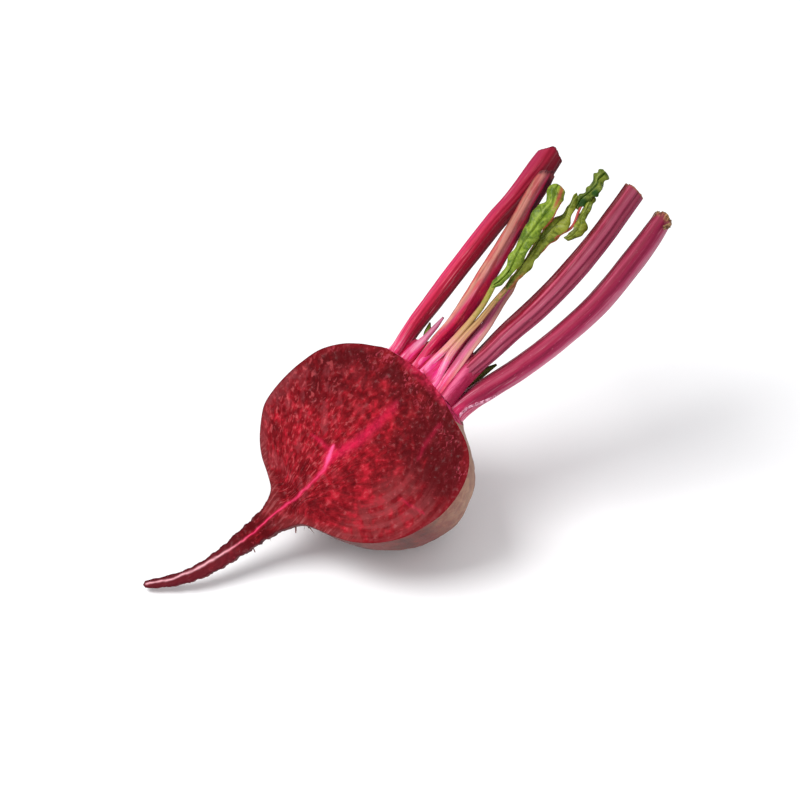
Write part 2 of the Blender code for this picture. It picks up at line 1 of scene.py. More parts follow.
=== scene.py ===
"""Half a beetroot with its cut leaf stalks and young leaves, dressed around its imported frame.

Every piece is drawn in the frame of the cut, in millimetres: X runs along the root towards the
crown, Y runs across the cut, and Z points out of the cut face.
"""
from math import cos, pi, radians, sin
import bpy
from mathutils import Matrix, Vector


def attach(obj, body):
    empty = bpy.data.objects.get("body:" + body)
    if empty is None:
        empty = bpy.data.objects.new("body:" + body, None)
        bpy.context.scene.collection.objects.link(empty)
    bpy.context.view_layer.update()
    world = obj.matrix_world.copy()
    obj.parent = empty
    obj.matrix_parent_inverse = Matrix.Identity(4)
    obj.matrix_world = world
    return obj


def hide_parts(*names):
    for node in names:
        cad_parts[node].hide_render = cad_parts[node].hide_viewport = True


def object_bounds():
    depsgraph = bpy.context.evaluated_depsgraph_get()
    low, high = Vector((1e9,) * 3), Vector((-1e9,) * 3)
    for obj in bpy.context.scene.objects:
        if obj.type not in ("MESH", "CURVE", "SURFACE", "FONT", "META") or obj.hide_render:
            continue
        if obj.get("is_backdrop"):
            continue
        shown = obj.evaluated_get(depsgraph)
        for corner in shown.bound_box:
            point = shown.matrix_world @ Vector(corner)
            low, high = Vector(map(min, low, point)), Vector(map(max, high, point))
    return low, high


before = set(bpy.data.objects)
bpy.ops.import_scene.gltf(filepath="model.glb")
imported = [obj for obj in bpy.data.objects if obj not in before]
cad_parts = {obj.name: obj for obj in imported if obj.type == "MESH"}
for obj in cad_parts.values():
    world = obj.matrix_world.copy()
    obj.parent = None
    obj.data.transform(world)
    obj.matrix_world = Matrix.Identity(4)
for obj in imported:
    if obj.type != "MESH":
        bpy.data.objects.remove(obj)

from types import SimpleNamespace

import bpy
import numpy as np
from bpy.props import FloatProperty, FloatVectorProperty, PointerProperty
from bpy.types import Operator, Panel, PropertyGroup
from mathutils import Euler, Vector, noise

bl_info = {
    "name": "Halved beetroot",
    "version": (1, 0, 0),
    "blender": (4, 5, 0),
    "location": "3D View > Sidebar > Beetroot",
    "description": "Builds half a beetroot with its stalks and young leaves",
    "category": "Object",
}

CAD_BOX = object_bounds()
MM = 0.001
# Gap under which two points of a mesh are one, in metres.
MERGE_GAP = 0.000002

# Resting pose: the turns of the cut's frame, and where its origin stands over the surface.
CUT_TURN = (15.3, -33.5, 31.9)
FACE_CENTRE = (-6.3, -10.0, 41.6)
TURN = Euler([radians(a) for a in CUT_TURN]).to_matrix()

# The swollen root from the crown's rim to the neck: along, centre across, half width.
BULB = (
    (29.4, 2.7, 19.6), (27.2, 0.3, 25.2), (24.0, -0.2, 30.4), (19.0, 0.3, 35.2), (12.0, 1.1, 38.7),
    (4.0, 1.5, 40.0), (-3.0, 2.3, 39.7), (-10.0, 3.1, 38.4), (-16.0, 4.0, 36.0), (-21.0, 4.2, 32.1),
    (-26.0, 4.5, 26.7), (-29.5, 5.0, 20.9), (-32.2, 5.0, 14.3), (-34.8, 5.1, 9.3), (-38.5, 5.3, 6.9),
)
# The taproot from the neck to its tip: along, across, out of the cut, radius.
TAPROOT = (
    (-43.0, 5.9, 0.0, 5.4), (-48.0, 6.5, 0.3, 4.6), (-55.0, 7.0, 1.1, 4.0), (-62.0, 7.4, 2.4, 3.4),
    (-69.8, 8.4, 4.2, 2.9), (-75.7, 10.0, 5.7, 2.5), (-80.5, 12.3, 6.5, 2.2), (-84.8, 14.9, 7.5, 1.9),
    (-88.0, 17.1, 8.3, 1.6), (-89.8, 18.5, 8.8, 1.3),
)
# Mesh of the root: columns across the cut and round the skin, rows of the dome and of the tip.
FACE_COLUMNS = 116
SKIN_COLUMNS = 84
CAP_ROWS = 22
TIP_ROWS = 4
ROOT_PITCH = 0.62
# Section of the root: how far the middle of its round lies behind the cut, and how the back is
# flattened, drawn in under the crown's shoulder and leant to one side, each over its spans.
CUT_OFFSET = 0.18
BACK_DEPTH = 0.985
BACK_TUCK = 0.165
TUCK_SPANS = ((2.0, 14.0), (29.4, 26.5))
BACK_LEAN = 0.04
LEAN_SPANS = ((15.0, -5.0), (-40.0, -25.0))
SKIN_CENTRE = (0.0, 2.0, -6.0)
# What a point's share round the skin says where the point isn't on the skin.
ON_CUT = -1.0
ON_CROWN = -2.0
# The neck, the wrinkles of the skin and the taproot's broken tip.
NECK_START = -36.0
NECK_END = -48.0
COLLAR_PITCH = 2.4
WRINKLE_PITCH = 5.2
FINE_WRINKLE_PITCH = 1.9
TIP_SHIFT = (-0.5, 0.4, -0.1)
TIP_BEND = (-0.3, 0.2, 0.0)
# Growth rings, the fibres that meet at the neck, and the way of the knife's streaks.
RING_CENTRE = (-1.0, 2.0)
RING_REACH = (37.0, 40.0)
RING_SIZE = 38.0
RING_COUNT = 6
RING_DEPTH = 0.07
RAY_CENTRE = (-39.0, 5.4)
RAY_REACH = 36.0
STREAK_WAY = (0.68, 0.73)
# The crown's dome.
CROWN_TOP = 33.2
CROWN_CENTRE = (2.7, -8.0)
CROWN_RADIUS = 19.6
CROWN_DROP = 3.4

# The pale strand through the taproot and the bright core of the flesh: along, across, half width.
STRAND = (
    (-89.5, 18.2, 0.35), (-81.7, 13.7, 0.38), (-74.6, 10.9, 0.42), (-69.1, 9.6, 0.42), (-63.9, 8.5, 0.4),
    (-57.9, 7.7, 0.4), (-50.3, 6.9, 0.46), (-41.2, 6.5, 0.46), (-34.9, 5.7, 0.54), (-29.4, 4.8, 0.6),
    (-22.3, 4.8, 0.68), (-17.2, 4.9, 0.85), (-13.8, 6.0, 1.15), (-10.3, 7.9, 1.3), (-8.0, 9.0, 0.6),
)
CORE = (
    (-12.5, 6.6, 1.1), (-10.5, 6.0, 1.6), (-5.7, 4.9, 1.9), (-0.7, 3.6, 1.9), (5.7, 3.0, 1.8),
    (11.5, 3.0, 1.8), (15.6, 3.0, 1.9), (18.4, 3.2, 1.3),
)
# Strands that branch off sideways: strength, then the line.
SIDE_STRANDS = (
    (0.55, ((-10.1, 8.5, 1.0), (-10.3, 13.5, 0.8), (-11.0, 17.9, 0.35))),
    (0.36, ((-3.2, -24.2, 0.4), (-1.8, -29.7, 0.4), (-0.6, -34.4, 0.25))),
    (0.26, ((24.5, -14.2, 0.8), (15.9, -15.6, 0.8), (10.5, -17.8, 0.4))),
)

# Cut stalks: centreline (along, across, out of the cut) with the half width seen from the front;
# the turn of the channelled side in degrees, count and depth of the ribs, depth of the channel;
# how ragged the cut end is, how far it dries brown, its outline from side to side in shares and
# millimetres, and its two dry colours; the colours from the left edge to the right one, which hold
# the stalk's own stripes together with a painted highlight on its lit edge and painted shade on
# its far side and in its channel. The peeled stalk has a blush, and the shift of its peeled
# strip's edge at places along it.
STALKS = {
    "stalk_a": {
        "line": (
            (31.0, 19.0, -4.0, 2.6), (40.7, 21.3, -4.0, 3.0), (54.0, 23.5, -4.2, 3.4),
            (71.7, 26.2, -4.5, 3.6), (89.5, 28.7, -5.0, 3.7), (99.2, 29.3, -5.3, 4.0),
            (107.4, 30.1, -5.6, 4.5), (114.9, 31.2, -5.8, 4.9), (121.4, 32.6, -6.0, 4.6),
        ),
        "facing": -70.0, "ribs": 9, "rib": 0.028, "channel": 0.3, "rag": 0.25, "brown": 0.7,
        "profile": ((-1.0, -3.0), (-0.5, -0.7), (-0.1, 1.5), (0.4, 0.9), (1.0, -0.3)),
        "end": ((112, 26, 42), (70, 16, 26)), "far": 1.5,
        "bands": (
            (0.00, (174, 32, 76)), (0.10, (202, 50, 94)), (0.26, (194, 36, 76)),
            (0.40, (180, 26, 60)), (0.60, (172, 22, 54)), (0.78, (152, 20, 48)),
            (0.92, (130, 14, 40)), (1.00, (94, 10, 30)),
        ),
    },
    "stalk_b": {
        "line": (
            (33.0, 8.2, -3.4, 2.4), (39.1, 9.5, -3.6, 2.6), (45.6, 10.0, -3.6, 3.0),
            (54.0, 10.4, -3.6, 3.4), (63.7, 12.5, -3.6, 3.6), (71.8, 14.8, -3.4, 3.4),
            (79.8, 16.9, -3.0, 3.1), (87.9, 18.9, -2.5, 3.0), (95.7, 20.9, -1.9, 3.0),
            (103.5, 23.0, -1.2, 3.1), (109.7, 24.3, -0.6, 3.1), (114.7, 25.4, -0.2, 2.7),
        ),
        "facing": -58.0, "ribs": 8, "rib": 0.025, "channel": 0.3, "rag": 0.5, "brown": 2.6,
        "profile": ((-1.0, -1.2), (0.0, 0.6), (0.5, 1.2), (1.0, -0.2)),
        "end": ((112, 52, 54), (66, 26, 34)), "blush": (190, 52, 66),
        "strip": ((33, -0.46), (48, -0.38), (64, -0.1), (72, 0.1), (80, 0.28), (90, 0.22), (96, 0.22),
                  (112, 0.1)),
        "bands": (
            (0.00, (138, 66, 60)), (0.06, (190, 124, 104)), (0.18, (198, 130, 114)),
            (0.30, (194, 120, 112)), (0.42, (190, 92, 106)), (0.52, (186, 38, 84)),
            (0.60, (188, 18, 66)), (0.76, (172, 12, 60)), (0.88, (122, 12, 50)), (1.00, (62, 8, 28)),
        ),
    },
    "stalk_c": {
        "line": (
            (32.5, -5.9, -4.7, 2.6), (41.4, -5.1, -4.8, 3.0), (46.9, -5.0, -4.7, 3.6),
            (55.4, -5.5, -4.4, 4.1), (65.1, -5.9, -4.0, 4.4), (79.7, -7.0, -3.2, 4.7),
            (94.7, -7.0, -2.4, 4.8), (110.5, -5.7, -1.6, 4.6), (130.5, -2.6, -0.6, 4.4),
        ),
        "facing": 55.0, "ribs": 11, "rib": 0.04, "channel": 0.42, "rag": 0.3, "brown": 0.5,
        "profile": ((-1.0, 0.5), (-0.3, 0.3), (0.4, -0.2), (1.0, -0.6)),
        "end": ((150, 106, 62), (104, 60, 40)),
        "bands": (
            (0.00, (86, 8, 24)), (0.13, (132, 12, 38)), (0.18, (190, 78, 104)),
            (0.25, (148, 30, 62)), (0.34, (170, 76, 98)), (0.50, (162, 68, 94)),
            (0.60, (134, 32, 64)), (0.70, (168, 68, 94)), (0.84, (146, 42, 72)),
            (0.95, (182, 92, 122)), (1.00, (150, 58, 88)),
        ),
    },
    "stalk_d": {
        "line": (
            (31.6, -10.3, -10.2, 4.0), (38.9, -11.4, -10.1, 4.3), (46.7, -13.2, -9.9, 4.5),
            (58.7, -16.1, -9.6, 4.5), (76.0, -18.8, -9.2, 4.6), (95.1, -19.7, -8.8, 4.7),
            (117.1, -17.5, -8.0, 4.6), (131.6, -15.0, -7.3, 3.7),
        ),
        "facing": 62.0, "ribs": 10, "rib": 0.022, "channel": 0.18, "rag": 0.9, "brown": 2.4,
        "profile": ((-1.0, -0.6), (-0.3, 0.8), (0.3, 0.6), (1.0, -1.0)),
        "end": ((168, 128, 84), (80, 50, 28)), "flare": 2.6,
        "bands": (
            (0.00, (116, 22, 46)), (0.10, (156, 42, 72)), (0.22, (176, 62, 92)),
            (0.34, (146, 28, 62)), (0.48, (144, 28, 66)), (0.62, (150, 34, 72)),
            (0.74, (166, 56, 92)), (0.86, (196, 104, 132)), (0.96, (206, 126, 148)),
            (1.00, (160, 70, 100)),
        ),
    },
}
# Thin stalks: the same, with the thickness as a share of the width.
THIN_STALKS = {
    "petiole_1": {
        "line": (
            (32.2, 5.4, -1.2, 1.3), (34.6, 5.3, -1.0, 1.1), (38.2, 5.3, -0.6, 1.1),
            (44.1, 4.9, -0.2, 1.25), (49.6, 4.9, 0.2, 1.25), (54.4, 5.1, 0.6, 1.15),
            (59.1, 5.4, 1.0, 1.05), (63.6, 5.8, 1.5, 1.0), (67.5, 6.6, 2.1, 0.95), (72.5, 7.9, 2.7, 0.9),
        ),
        "flat": 0.75,
        "bands": ((0.0, (170, 104, 72)), (0.25, (202, 174, 104)), (0.45, (176, 142, 82)),
                  (0.7, (192, 158, 92)), (1.0, (104, 80, 38))),
        "foot": (222, 92, 140), "reach": 14.0, "full": 1.6,
        "end": ((122, 128, 44), (152, 146, 62)), "brown": 13.0,
    },
    "petiole_2": {
        "line": (
            (32.2, -1.6, -1.2, 1.3), (34.6, -1.1, -1.0, 1.2), (38.5, 0.3, -0.7, 1.25),
            (44.1, 2.1, -0.3, 1.35), (49.6, 2.75, 0.0, 1.3), (54.4, 3.0, 0.3, 1.25),
            (59.1, 3.15, 0.4, 1.15), (63.6, 3.5, 0.5, 1.05), (68.0, 4.1, 0.3, 1.0), (75.0, 5.0, -0.3, 0.9),
        ),
        "flat": 0.75,
        "bands": ((0.0, (128, 86, 50)), (0.3, (194, 158, 98)), (0.5, (172, 126, 82)),
                  (0.75, (194, 148, 100)), (1.0, (142, 58, 70))),
        "foot": (218, 84, 136), "reach": 14.0, "full": 1.6,
        "end": ((122, 112, 50), (168, 120, 84)), "brown": 12.0,
    },
    "withered_stalk": {
        "line": (
            (32.6, -4.2, -1.3, 1.5), (38.0, -3.1, -1.2, 1.6), (44.9, -1.9, -1.4, 1.7),
            (51.4, -0.5, -1.8, 1.8), (58.4, 0.7, -2.4, 1.8), (63.2, 2.1, -3.2, 1.7),
            (71.2, 4.5, -4.2, 1.5), (75.5, 5.4, -4.4, 1.4), (79.5, 6.6, -4.6, 0.7),
        ),
        "flat": 0.5,
        "bands": ((0.0, (150, 70, 92)), (0.3, (196, 96, 130)), (0.55, (188, 84, 118)),
                  (0.75, (222, 160, 150)), (1.0, (186, 120, 112))),
        "foot": (220, 34, 96),
    },
    "stalk_stub": {
        "line": (
            (31.8, 13.7, -2.4, 2.6), (35.8, 13.9, -1.7, 2.1), (42.3, 13.9, -1.2, 1.2),
            (47.4, 14.1, -1.0, 0.9), (51.9, 14.5, -0.8, 0.4),
        ),
        "flat": 0.5,
        "reach": 6.0,
        "bands": ((0.0, (186, 84, 122)), (0.3, (216, 140, 166)), (0.6, (194, 92, 130)),
                  (1.0, (144, 60, 88))),
        "foot": (206, 30, 96),
    },
    "bud_1": {
        "line": (
            (32.2, 14.6, -8.0, 1.0), (37.0, 15.2, -7.8, 0.9), (41.5, 16.4, -7.6, 1.0),
            (44.2, 17.9, -7.5, 1.2), (47.2, 19.8, -7.5, 0.35),
        ),
        "flat": 0.7,
        "bands": ((0.0, (96, 124, 30)), (0.4, (156, 186, 66)), (1.0, (88, 100, 38))),
        "foot": (150, 60, 70),
    },
    "bud_2": {
        "line": (
            (32.0, -4.6, -13.4, 1.1), (37.0, -5.4, -13.0, 1.0), (42.0, -6.2, -12.6, 1.1),
            (47.5, -6.6, -12.2, 1.4), (53.5, -8.2, -12.0, 0.4),
        ),
        "flat": 0.6,
        "bands": ((0.0, (52, 62, 20)), (0.5, (110, 132, 52)), (1.0, (70, 76, 34))),
        "foot": (110, 20, 40),
    },
}

# Leaf blades: left edge (along, across), right edge (along, across), height out of the cut.
LEAF_1 = (
    (71.2, 9.0, 71.2, 7.2, 2.5), (75.2, 9.3, 75.7, 5.5, 2.8), (79.4, 9.3, 80.4, 5.7, 3.0),
    (83.1, 10.9, 84.3, 6.2, 3.2), (86.7, 12.1, 88.2, 6.8, 3.4), (91.2, 13.9, 91.8, 7.6, 3.6),
    (94.9, 14.7, 95.2, 8.1, 3.8), (99.0, 15.9, 99.5, 9.4, 3.9), (103.5, 17.0, 103.7, 9.2, 3.9),
    (106.5, 16.7, 108.0, 10.4, 3.9), (110.1, 19.0, 111.8, 12.4, 3.8), (112.1, 19.1, 113.5, 13.7, 3.7),
    (113.4, 18.1, 113.8, 16.2, 3.6),
)
LEAF_2_MAIN = (
    (74.1, 5.5, 75.5, 3.4, -0.3), (77.8, 6.8, 80.3, 3.7, -0.5), (80.9, 7.0, 82.6, 3.9, -0.6),
    (84.2, 7.8, 85.6, 4.0, -0.8), (87.2, 8.5, 88.6, 4.6, -0.8), (91.6, 9.7, 91.6, 5.0, -0.9),
    (95.2, 10.9, 94.3, 5.2, -0.7), (97.7, 10.8, 97.0, 5.0, -0.4), (101.3, 10.8, 101.0, 4.6, -0.2),
    (104.6, 11.1, 103.8, 3.8, 0.0), (107.7, 9.8, 106.4, 4.6, 0.1), (111.1, 10.8, 108.2, 6.2, 0.0),
    (114.6, 11.7, 112.1, 7.9, -0.1), (116.2, 11.7, 115.1, 9.6, -0.3),
)
LEAF_2_RIGHT = (
    (101.6, 3.4, 101.7, 1.9, -1.4), (103.6, 3.5, 105.4, -0.2, -1.6), (106.0, 3.2, 108.5, -0.2, -1.8),
    (108.0, 4.6, 110.5, 0.6, -1.9), (110.5, 5.8, 111.7, 2.9, -1.9), (112.8, 6.4, 114.4, 3.5, -1.8),
    (115.1, 7.2, 117.0, 4.5, -1.7), (117.7, 7.6, 119.3, 5.7, -1.6), (119.1, 7.7, 119.7, 7.1, -1.6),
)
LEAF_2_TIP = (
    (111.8, 8.6, 112.2, 6.9, -1.0), (113.6, 9.5, 114.0, 6.8, -0.9), (115.4, 10.4, 116.0, 6.3, -0.8),
    (118.2, 10.4, 118.8, 5.8, -0.6), (120.9, 10.9, 120.9, 4.9, -0.5), (123.3, 11.6, 123.4, 5.2, -0.4),
    (125.3, 12.1, 124.4, 6.9, -0.4), (127.2, 12.0, 127.2, 7.1, -0.4), (128.5, 10.8, 128.4, 8.3, -0.4),
)
# The red vein that forks off into the right lobe and the tip: along, across, out, half width.
LEAF_2_VEIN = (
    (92.0, 6.0, -0.6, 0.35), (96.2, 5.8, -0.5, 0.4), (100.9, 5.4, -0.4, 0.45), (104.1, 4.3, -0.5, 0.5),
    (106.4, 4.1, -0.7, 0.5), (108.6, 4.9, -0.9, 0.45), (112.1, 6.6, -0.8, 0.45), (115.2, 7.6, -0.7, 0.3),
)
BLADE_COLUMNS = 40
BLADE_PITCH = 0.4
# Light and dark green of the second leaf, which is duller than the first.
LEAF_2_GREENS = ((128, 136, 44), (80, 92, 16))

# The view: the photograph's height over the surface and distance from the cut's middle.
CAMERA_PLACE = (0.0061, -0.4946, 0.5002)
CAMERA_TILT = 48.0
CAMERA_LENS = 85.0
# The picture's right, in the cut's frame.
IMAGE_RIGHT = np.array((0.708, -0.633, -0.313))

# Stage: the backdrop's light, and each lamp's place, power and width. Both face the root.
BACKDROP_COLOUR = (0.985, 0.985, 1.0)
BACKDROP_STRENGTH = 0.62
LAMPS = {"key": ((-0.72, -0.12, 1.25), 17.0, 0.75), "fill": ((0.5, -1.1, 0.7), 4.0, 1.2)}
LAMP_AIM = (0.0, 0.0, 0.05)


def linear(colour):
    """A display colour in 0 to 255 as linear light."""
    share = np.array(colour, dtype=float) / 255.0
    return tuple(np.where(share <= 0.04045, share / 12.92, ((share + 0.055) / 1.055) ** 2.4))


def colour_property(name, description, display):
    return FloatVectorProperty(
        name=name, description=description, default=linear(display), subtype="COLOR", size=3,
        min=0.0, max=1.0)


class BeetSizes(PropertyGroup):
    """Reliefs, thicknesses and the floor's width, in metres."""
    flesh_relief: FloatProperty(
        name="Flesh relief", description="Height of the knife's streaks on the cut",
        default=0.00011, unit="LENGTH")
    skin_relief: FloatProperty(
        name="Skin relief", description="Height of the skin's lumps", default=0.00024, unit="LENGTH")
    blade_thickness: FloatProperty(
        name="Leaf thickness", description="Thickness of the leaf blades", default=0.0006,
        unit="LENGTH")
    hair_radius: FloatProperty(
        name="Root hair radius", description="Radius of the fine root hairs", default=0.00011,
        unit="LENGTH")
    floor_size: FloatProperty(
        name="Floor size", description="Width of the floor", default=6.0, unit="LENGTH")


class BeetColours(PropertyGroup):
    """The colours of the flesh, the skin and the leaves."""
    flesh: colour_property("Flesh", "Main red of the cut flesh", (132, 15, 26))
    flesh_deep: colour_property("Deep flesh", "Maroon between the streaks", (108, 8, 18))
    flesh_bright: colour_property("Bright flesh", "Crimson of the wet streaks", (164, 20, 38))
    core: colour_property("Core", "Pink of the core and its strands", (204, 26, 70))
    strand: colour_property("Pale strand", "Pale pink of the taproot's strand", (232, 176, 184))
    skin: colour_property("Skin", "Dull purple red of the skin", (108, 50, 52))
    skin_deep: colour_property("Deep skin", "Dark blotches of the skin", (70, 34, 40))
    skin_dust: colour_property("Dusty skin", "Grey brown cork on the shoulder", (168, 130, 108))
    crown: colour_property("Crown", "Pink tissue at the crown", (206, 60, 110))
    leaf_light: colour_property("Leaf light", "Yellow green of the young blade", (124, 146, 42))
    leaf_dark: colour_property("Leaf dark", "Deep green of the young blade", (74, 98, 16))
    leaf_vein: colour_property("Leaf vein", "Red of the leaf's veins and margins", (168, 60, 60))
    floor: colour_property("Floor", "Pale studio floor", (246, 246, 247))


# Curves, sections and noise


def smooth_rows(rows, steps):
    """Points on a Catmull-Rom curve through the rows, with the given steps in each span."""
    rows = np.array(rows, dtype=float)
    padded = np.vstack([2 * rows[0] - rows[1], rows, 2 * rows[-1] - rows[-2]])
    points = []
    for p0, p1, p2, p3 in zip(padded, padded[1:], padded[2:], padded[3:]):
        for t in np.arange(steps) / steps:
            points.append(0.5 * (
                2 * p1 + (p2 - p0) * t + (2 * p0 - 5 * p1 + 4 * p2 - p3) * t ** 2
                + (3 * p1 - p0 - 3 * p2 + p3) * t ** 3))
    return np.array(points + [rows[-1]])


def run_lengths(rows):
    """Length along a curve at each of its rows."""
    return np.concatenate([[0], np.cumsum(np.linalg.norm(np.diff(rows[:, :3], axis=0), axis=1))])


def even_rows(rows, pitch):
    """The same curve in even steps of about the pitch, and the length at each step."""
    fine = smooth_rows(rows, 12)
    length = run_lengths(fine)
    targets = np.linspace(0, length[-1], max(4, round(length[-1] / pitch)) + 1)
    even = np.stack([np.interp(targets, length, column) for column in fine.T], axis=1)
    return even, targets


def smoothstep(low, high, value):
    t = np.clip((np.asarray(value, dtype=float) - low) / (high - low), 0.0, 1.0)
    return t * t * (3 - 2 * t)


def fade(value, *spans):
    """Product of smooth steps, each from 0 to 1 over its span, which may run backwards."""
    made = np.ones(np.shape(value))
    for low, high in spans:
        made = made * smoothstep(low, high, value)
    return made


def unit(vectors):
    return vectors / np.linalg.norm(vectors, axis=-1, keepdims=True)


def tangents(rows):
    return unit(np.gradient(rows[:, :3], axis=0))


def soft_noise(points, pitch, seed=0.0, octaves=2):
    """Smooth noise at each point, about -1 to 1, with lumps of the given pitch."""
    flat = np.asarray(points, dtype=float).reshape(-1, 3) / pitch
    values = [noise.fractal(Vector(p) + Vector((seed, 2.7 * seed, 0.0)), 1.0, 2.0, octaves)
              for p in flat]
    return np.array(values).reshape(np.shape(points)[:-1])


def to_world(points):
    """Points of the cut's frame, in millimetres, as points of the row frame in metres."""
    return (points @ np.array(TURN).T + np.array(FACE_CENTRE)) * MM


def settle(points):
    """Raise what would lie under the surface onto it."""
    up = np.array(TURN.transposed() @ Vector((0.0, 0.0, 1.0)))
    height = points @ up + FACE_CENTRE[2]
    return points + np.clip(-height, 0, None)[..., None] * up


def line_mask(points, line):
    """Closeness to a line of (along, across, half width): 1 on it, fading to 0 beyond."""
    fine = smooth_rows(line, 8)
    best = np.zeros(points.shape[:-1])
    for start, end in zip(fine, fine[1:]):
        run = end[:2] - start[:2]
        share = np.clip(((points[..., :2] - start[:2]) @ run) / (run @ run), 0, 1)
        gap = np.linalg.norm(points[..., :2] - start[:2] - share[..., None] * run, axis=-1)
        width = start[2] + share * (end[2] - start[2])
        best = np.maximum(best, np.exp(-(gap / width) ** 2))
    return best


# Meshes


def rest_all():
    """Leave edit mode, if it is on, and deselect everything."""
    if bpy.context.object and bpy.context.object.mode != "OBJECT":
        bpy.ops.object.mode_set(mode="OBJECT")
    bpy.ops.object.select_all(action="DESELECT")


def paint(piece, name, values):
    """Keep a value or a vector for each vertex, for the materials to read."""
    kind = "FLOAT_VECTOR" if np.ndim(values) == 2 else "FLOAT"
    layer = piece.data.attributes.new(name, kind, "POINT")
    field = "vector" if kind == "FLOAT_VECTOR" else "value"
    layer.data.foreach_set(field, np.asarray(values, dtype=np.float32).ravel())


def bent_grid(name, sheet, paints, angle):
    """A grid primitive bent to a sheet of points, painted, closed and smooth up to an angle."""
    sheet[:, -1] = sheet[:, 0]
    rows, columns = sheet.shape[0] - 1, sheet.shape[1] - 1
    rest_all()
    bpy.ops.mesh.primitive_grid_add(
        x_subdivisions=columns, y_subdivisions=rows, size=1.0, location=(0.5, 0.5, 0.0))
    bpy.ops.object.transform_apply(location=True, rotation=True, scale=True)
    piece = bpy.context.object
    piece.name = piece.data.name = name
    flat = np.zeros(len(piece.data.vertices) * 3, np.float32)
    piece.data.vertices.foreach_get("co", flat)
    place = flat.reshape(-1, 3)
    column = np.rint(place[:, 0] * columns).astype(int)
    row = np.rint(place[:, 1] * rows).astype(int)
    for key, values in paints.items():
        paint(piece, key, values[row, column])
    piece.data.vertices.foreach_set("co", to_world(sheet)[row, column].astype(np.float32).ravel())
    piece.data.update()
    bpy.ops.object.mode_set(mode="EDIT")
    bpy.ops.mesh.select_all(action="SELECT")
    bpy.ops.mesh.remove_doubles(threshold=MERGE_GAP)
    bpy.ops.mesh.normals_make_consistent(inside=False)
    bpy.ops.object.mode_set(mode="OBJECT")
    bpy.ops.object.shade_smooth_by_angle(angle=radians(angle))
    return piece


def closed_grid(name, sheet, paints, angle):
    """A bent grid whose ends are drawn in to a point each."""
    sheet[:, -1] = sheet[:, 0]
    first, last = (np.broadcast_to(ring.mean(axis=0), ring.shape)[None] for ring in (sheet[0], sheet[-1]))
    paints = {key: np.concatenate([v[:1], v, v[-1:]]) for key, v in paints.items()}
    return bent_grid(name, np.concatenate([first, sheet, last]), paints, angle)


def thick_sheet(name, top, low, paints):
    """A closed piece between two sheets, both painted alike."""
    def both(front, back):
        return np.concatenate([front, back[:, ::-1], front[:, :1]], axis=1)

    paints = {key: both(values, values) for key, values in paints.items()}
    return closed_grid(name, both(top, low), paints, 70.0)


def join_pieces(name, pieces):
    """One object of several pieces."""
    rest_all()
    for piece in pieces:
        piece.select_set(True)
    bpy.context.view_layer.objects.active = pieces[0]
    bpy.ops.object.join()
    pieces[0].name = pieces[0].data.name = name
    return pieces[0]


def dress(piece, nodes, slot, *materials):
    """Give a finished piece its materials and its body, and hide the CAD nodes it stands for. The slot is
    not used.
    """
    for material in materials:
        piece.data.materials.append(material)
    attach(piece, "root")
    if nodes:
        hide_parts(*nodes)


# Shaders


class Socket:
    """An output socket of a shader, for maths written as an expression."""

    def __init__(self, shader, output):
        self.shader = shader
        self.output = output

    def maths(self, operation, first, second):
        return self.shader.node("ShaderNodeMath", {0: first, 1: second}, operation=operation)

    def __add__(self, other):
        return self.maths("ADD", self, other)

    def __radd__(self, other):
        return self.maths("ADD", other, self)

    def __sub__(self, other):
        return self.maths("SUBTRACT", self, other)

    def __rsub__(self, other):
        return self.maths("SUBTRACT", other, self)

    def __mul__(self, other):
        return self.maths("MULTIPLY", self, other)

    def __rmul__(self, other):
        return self.maths("MULTIPLY", other, self)


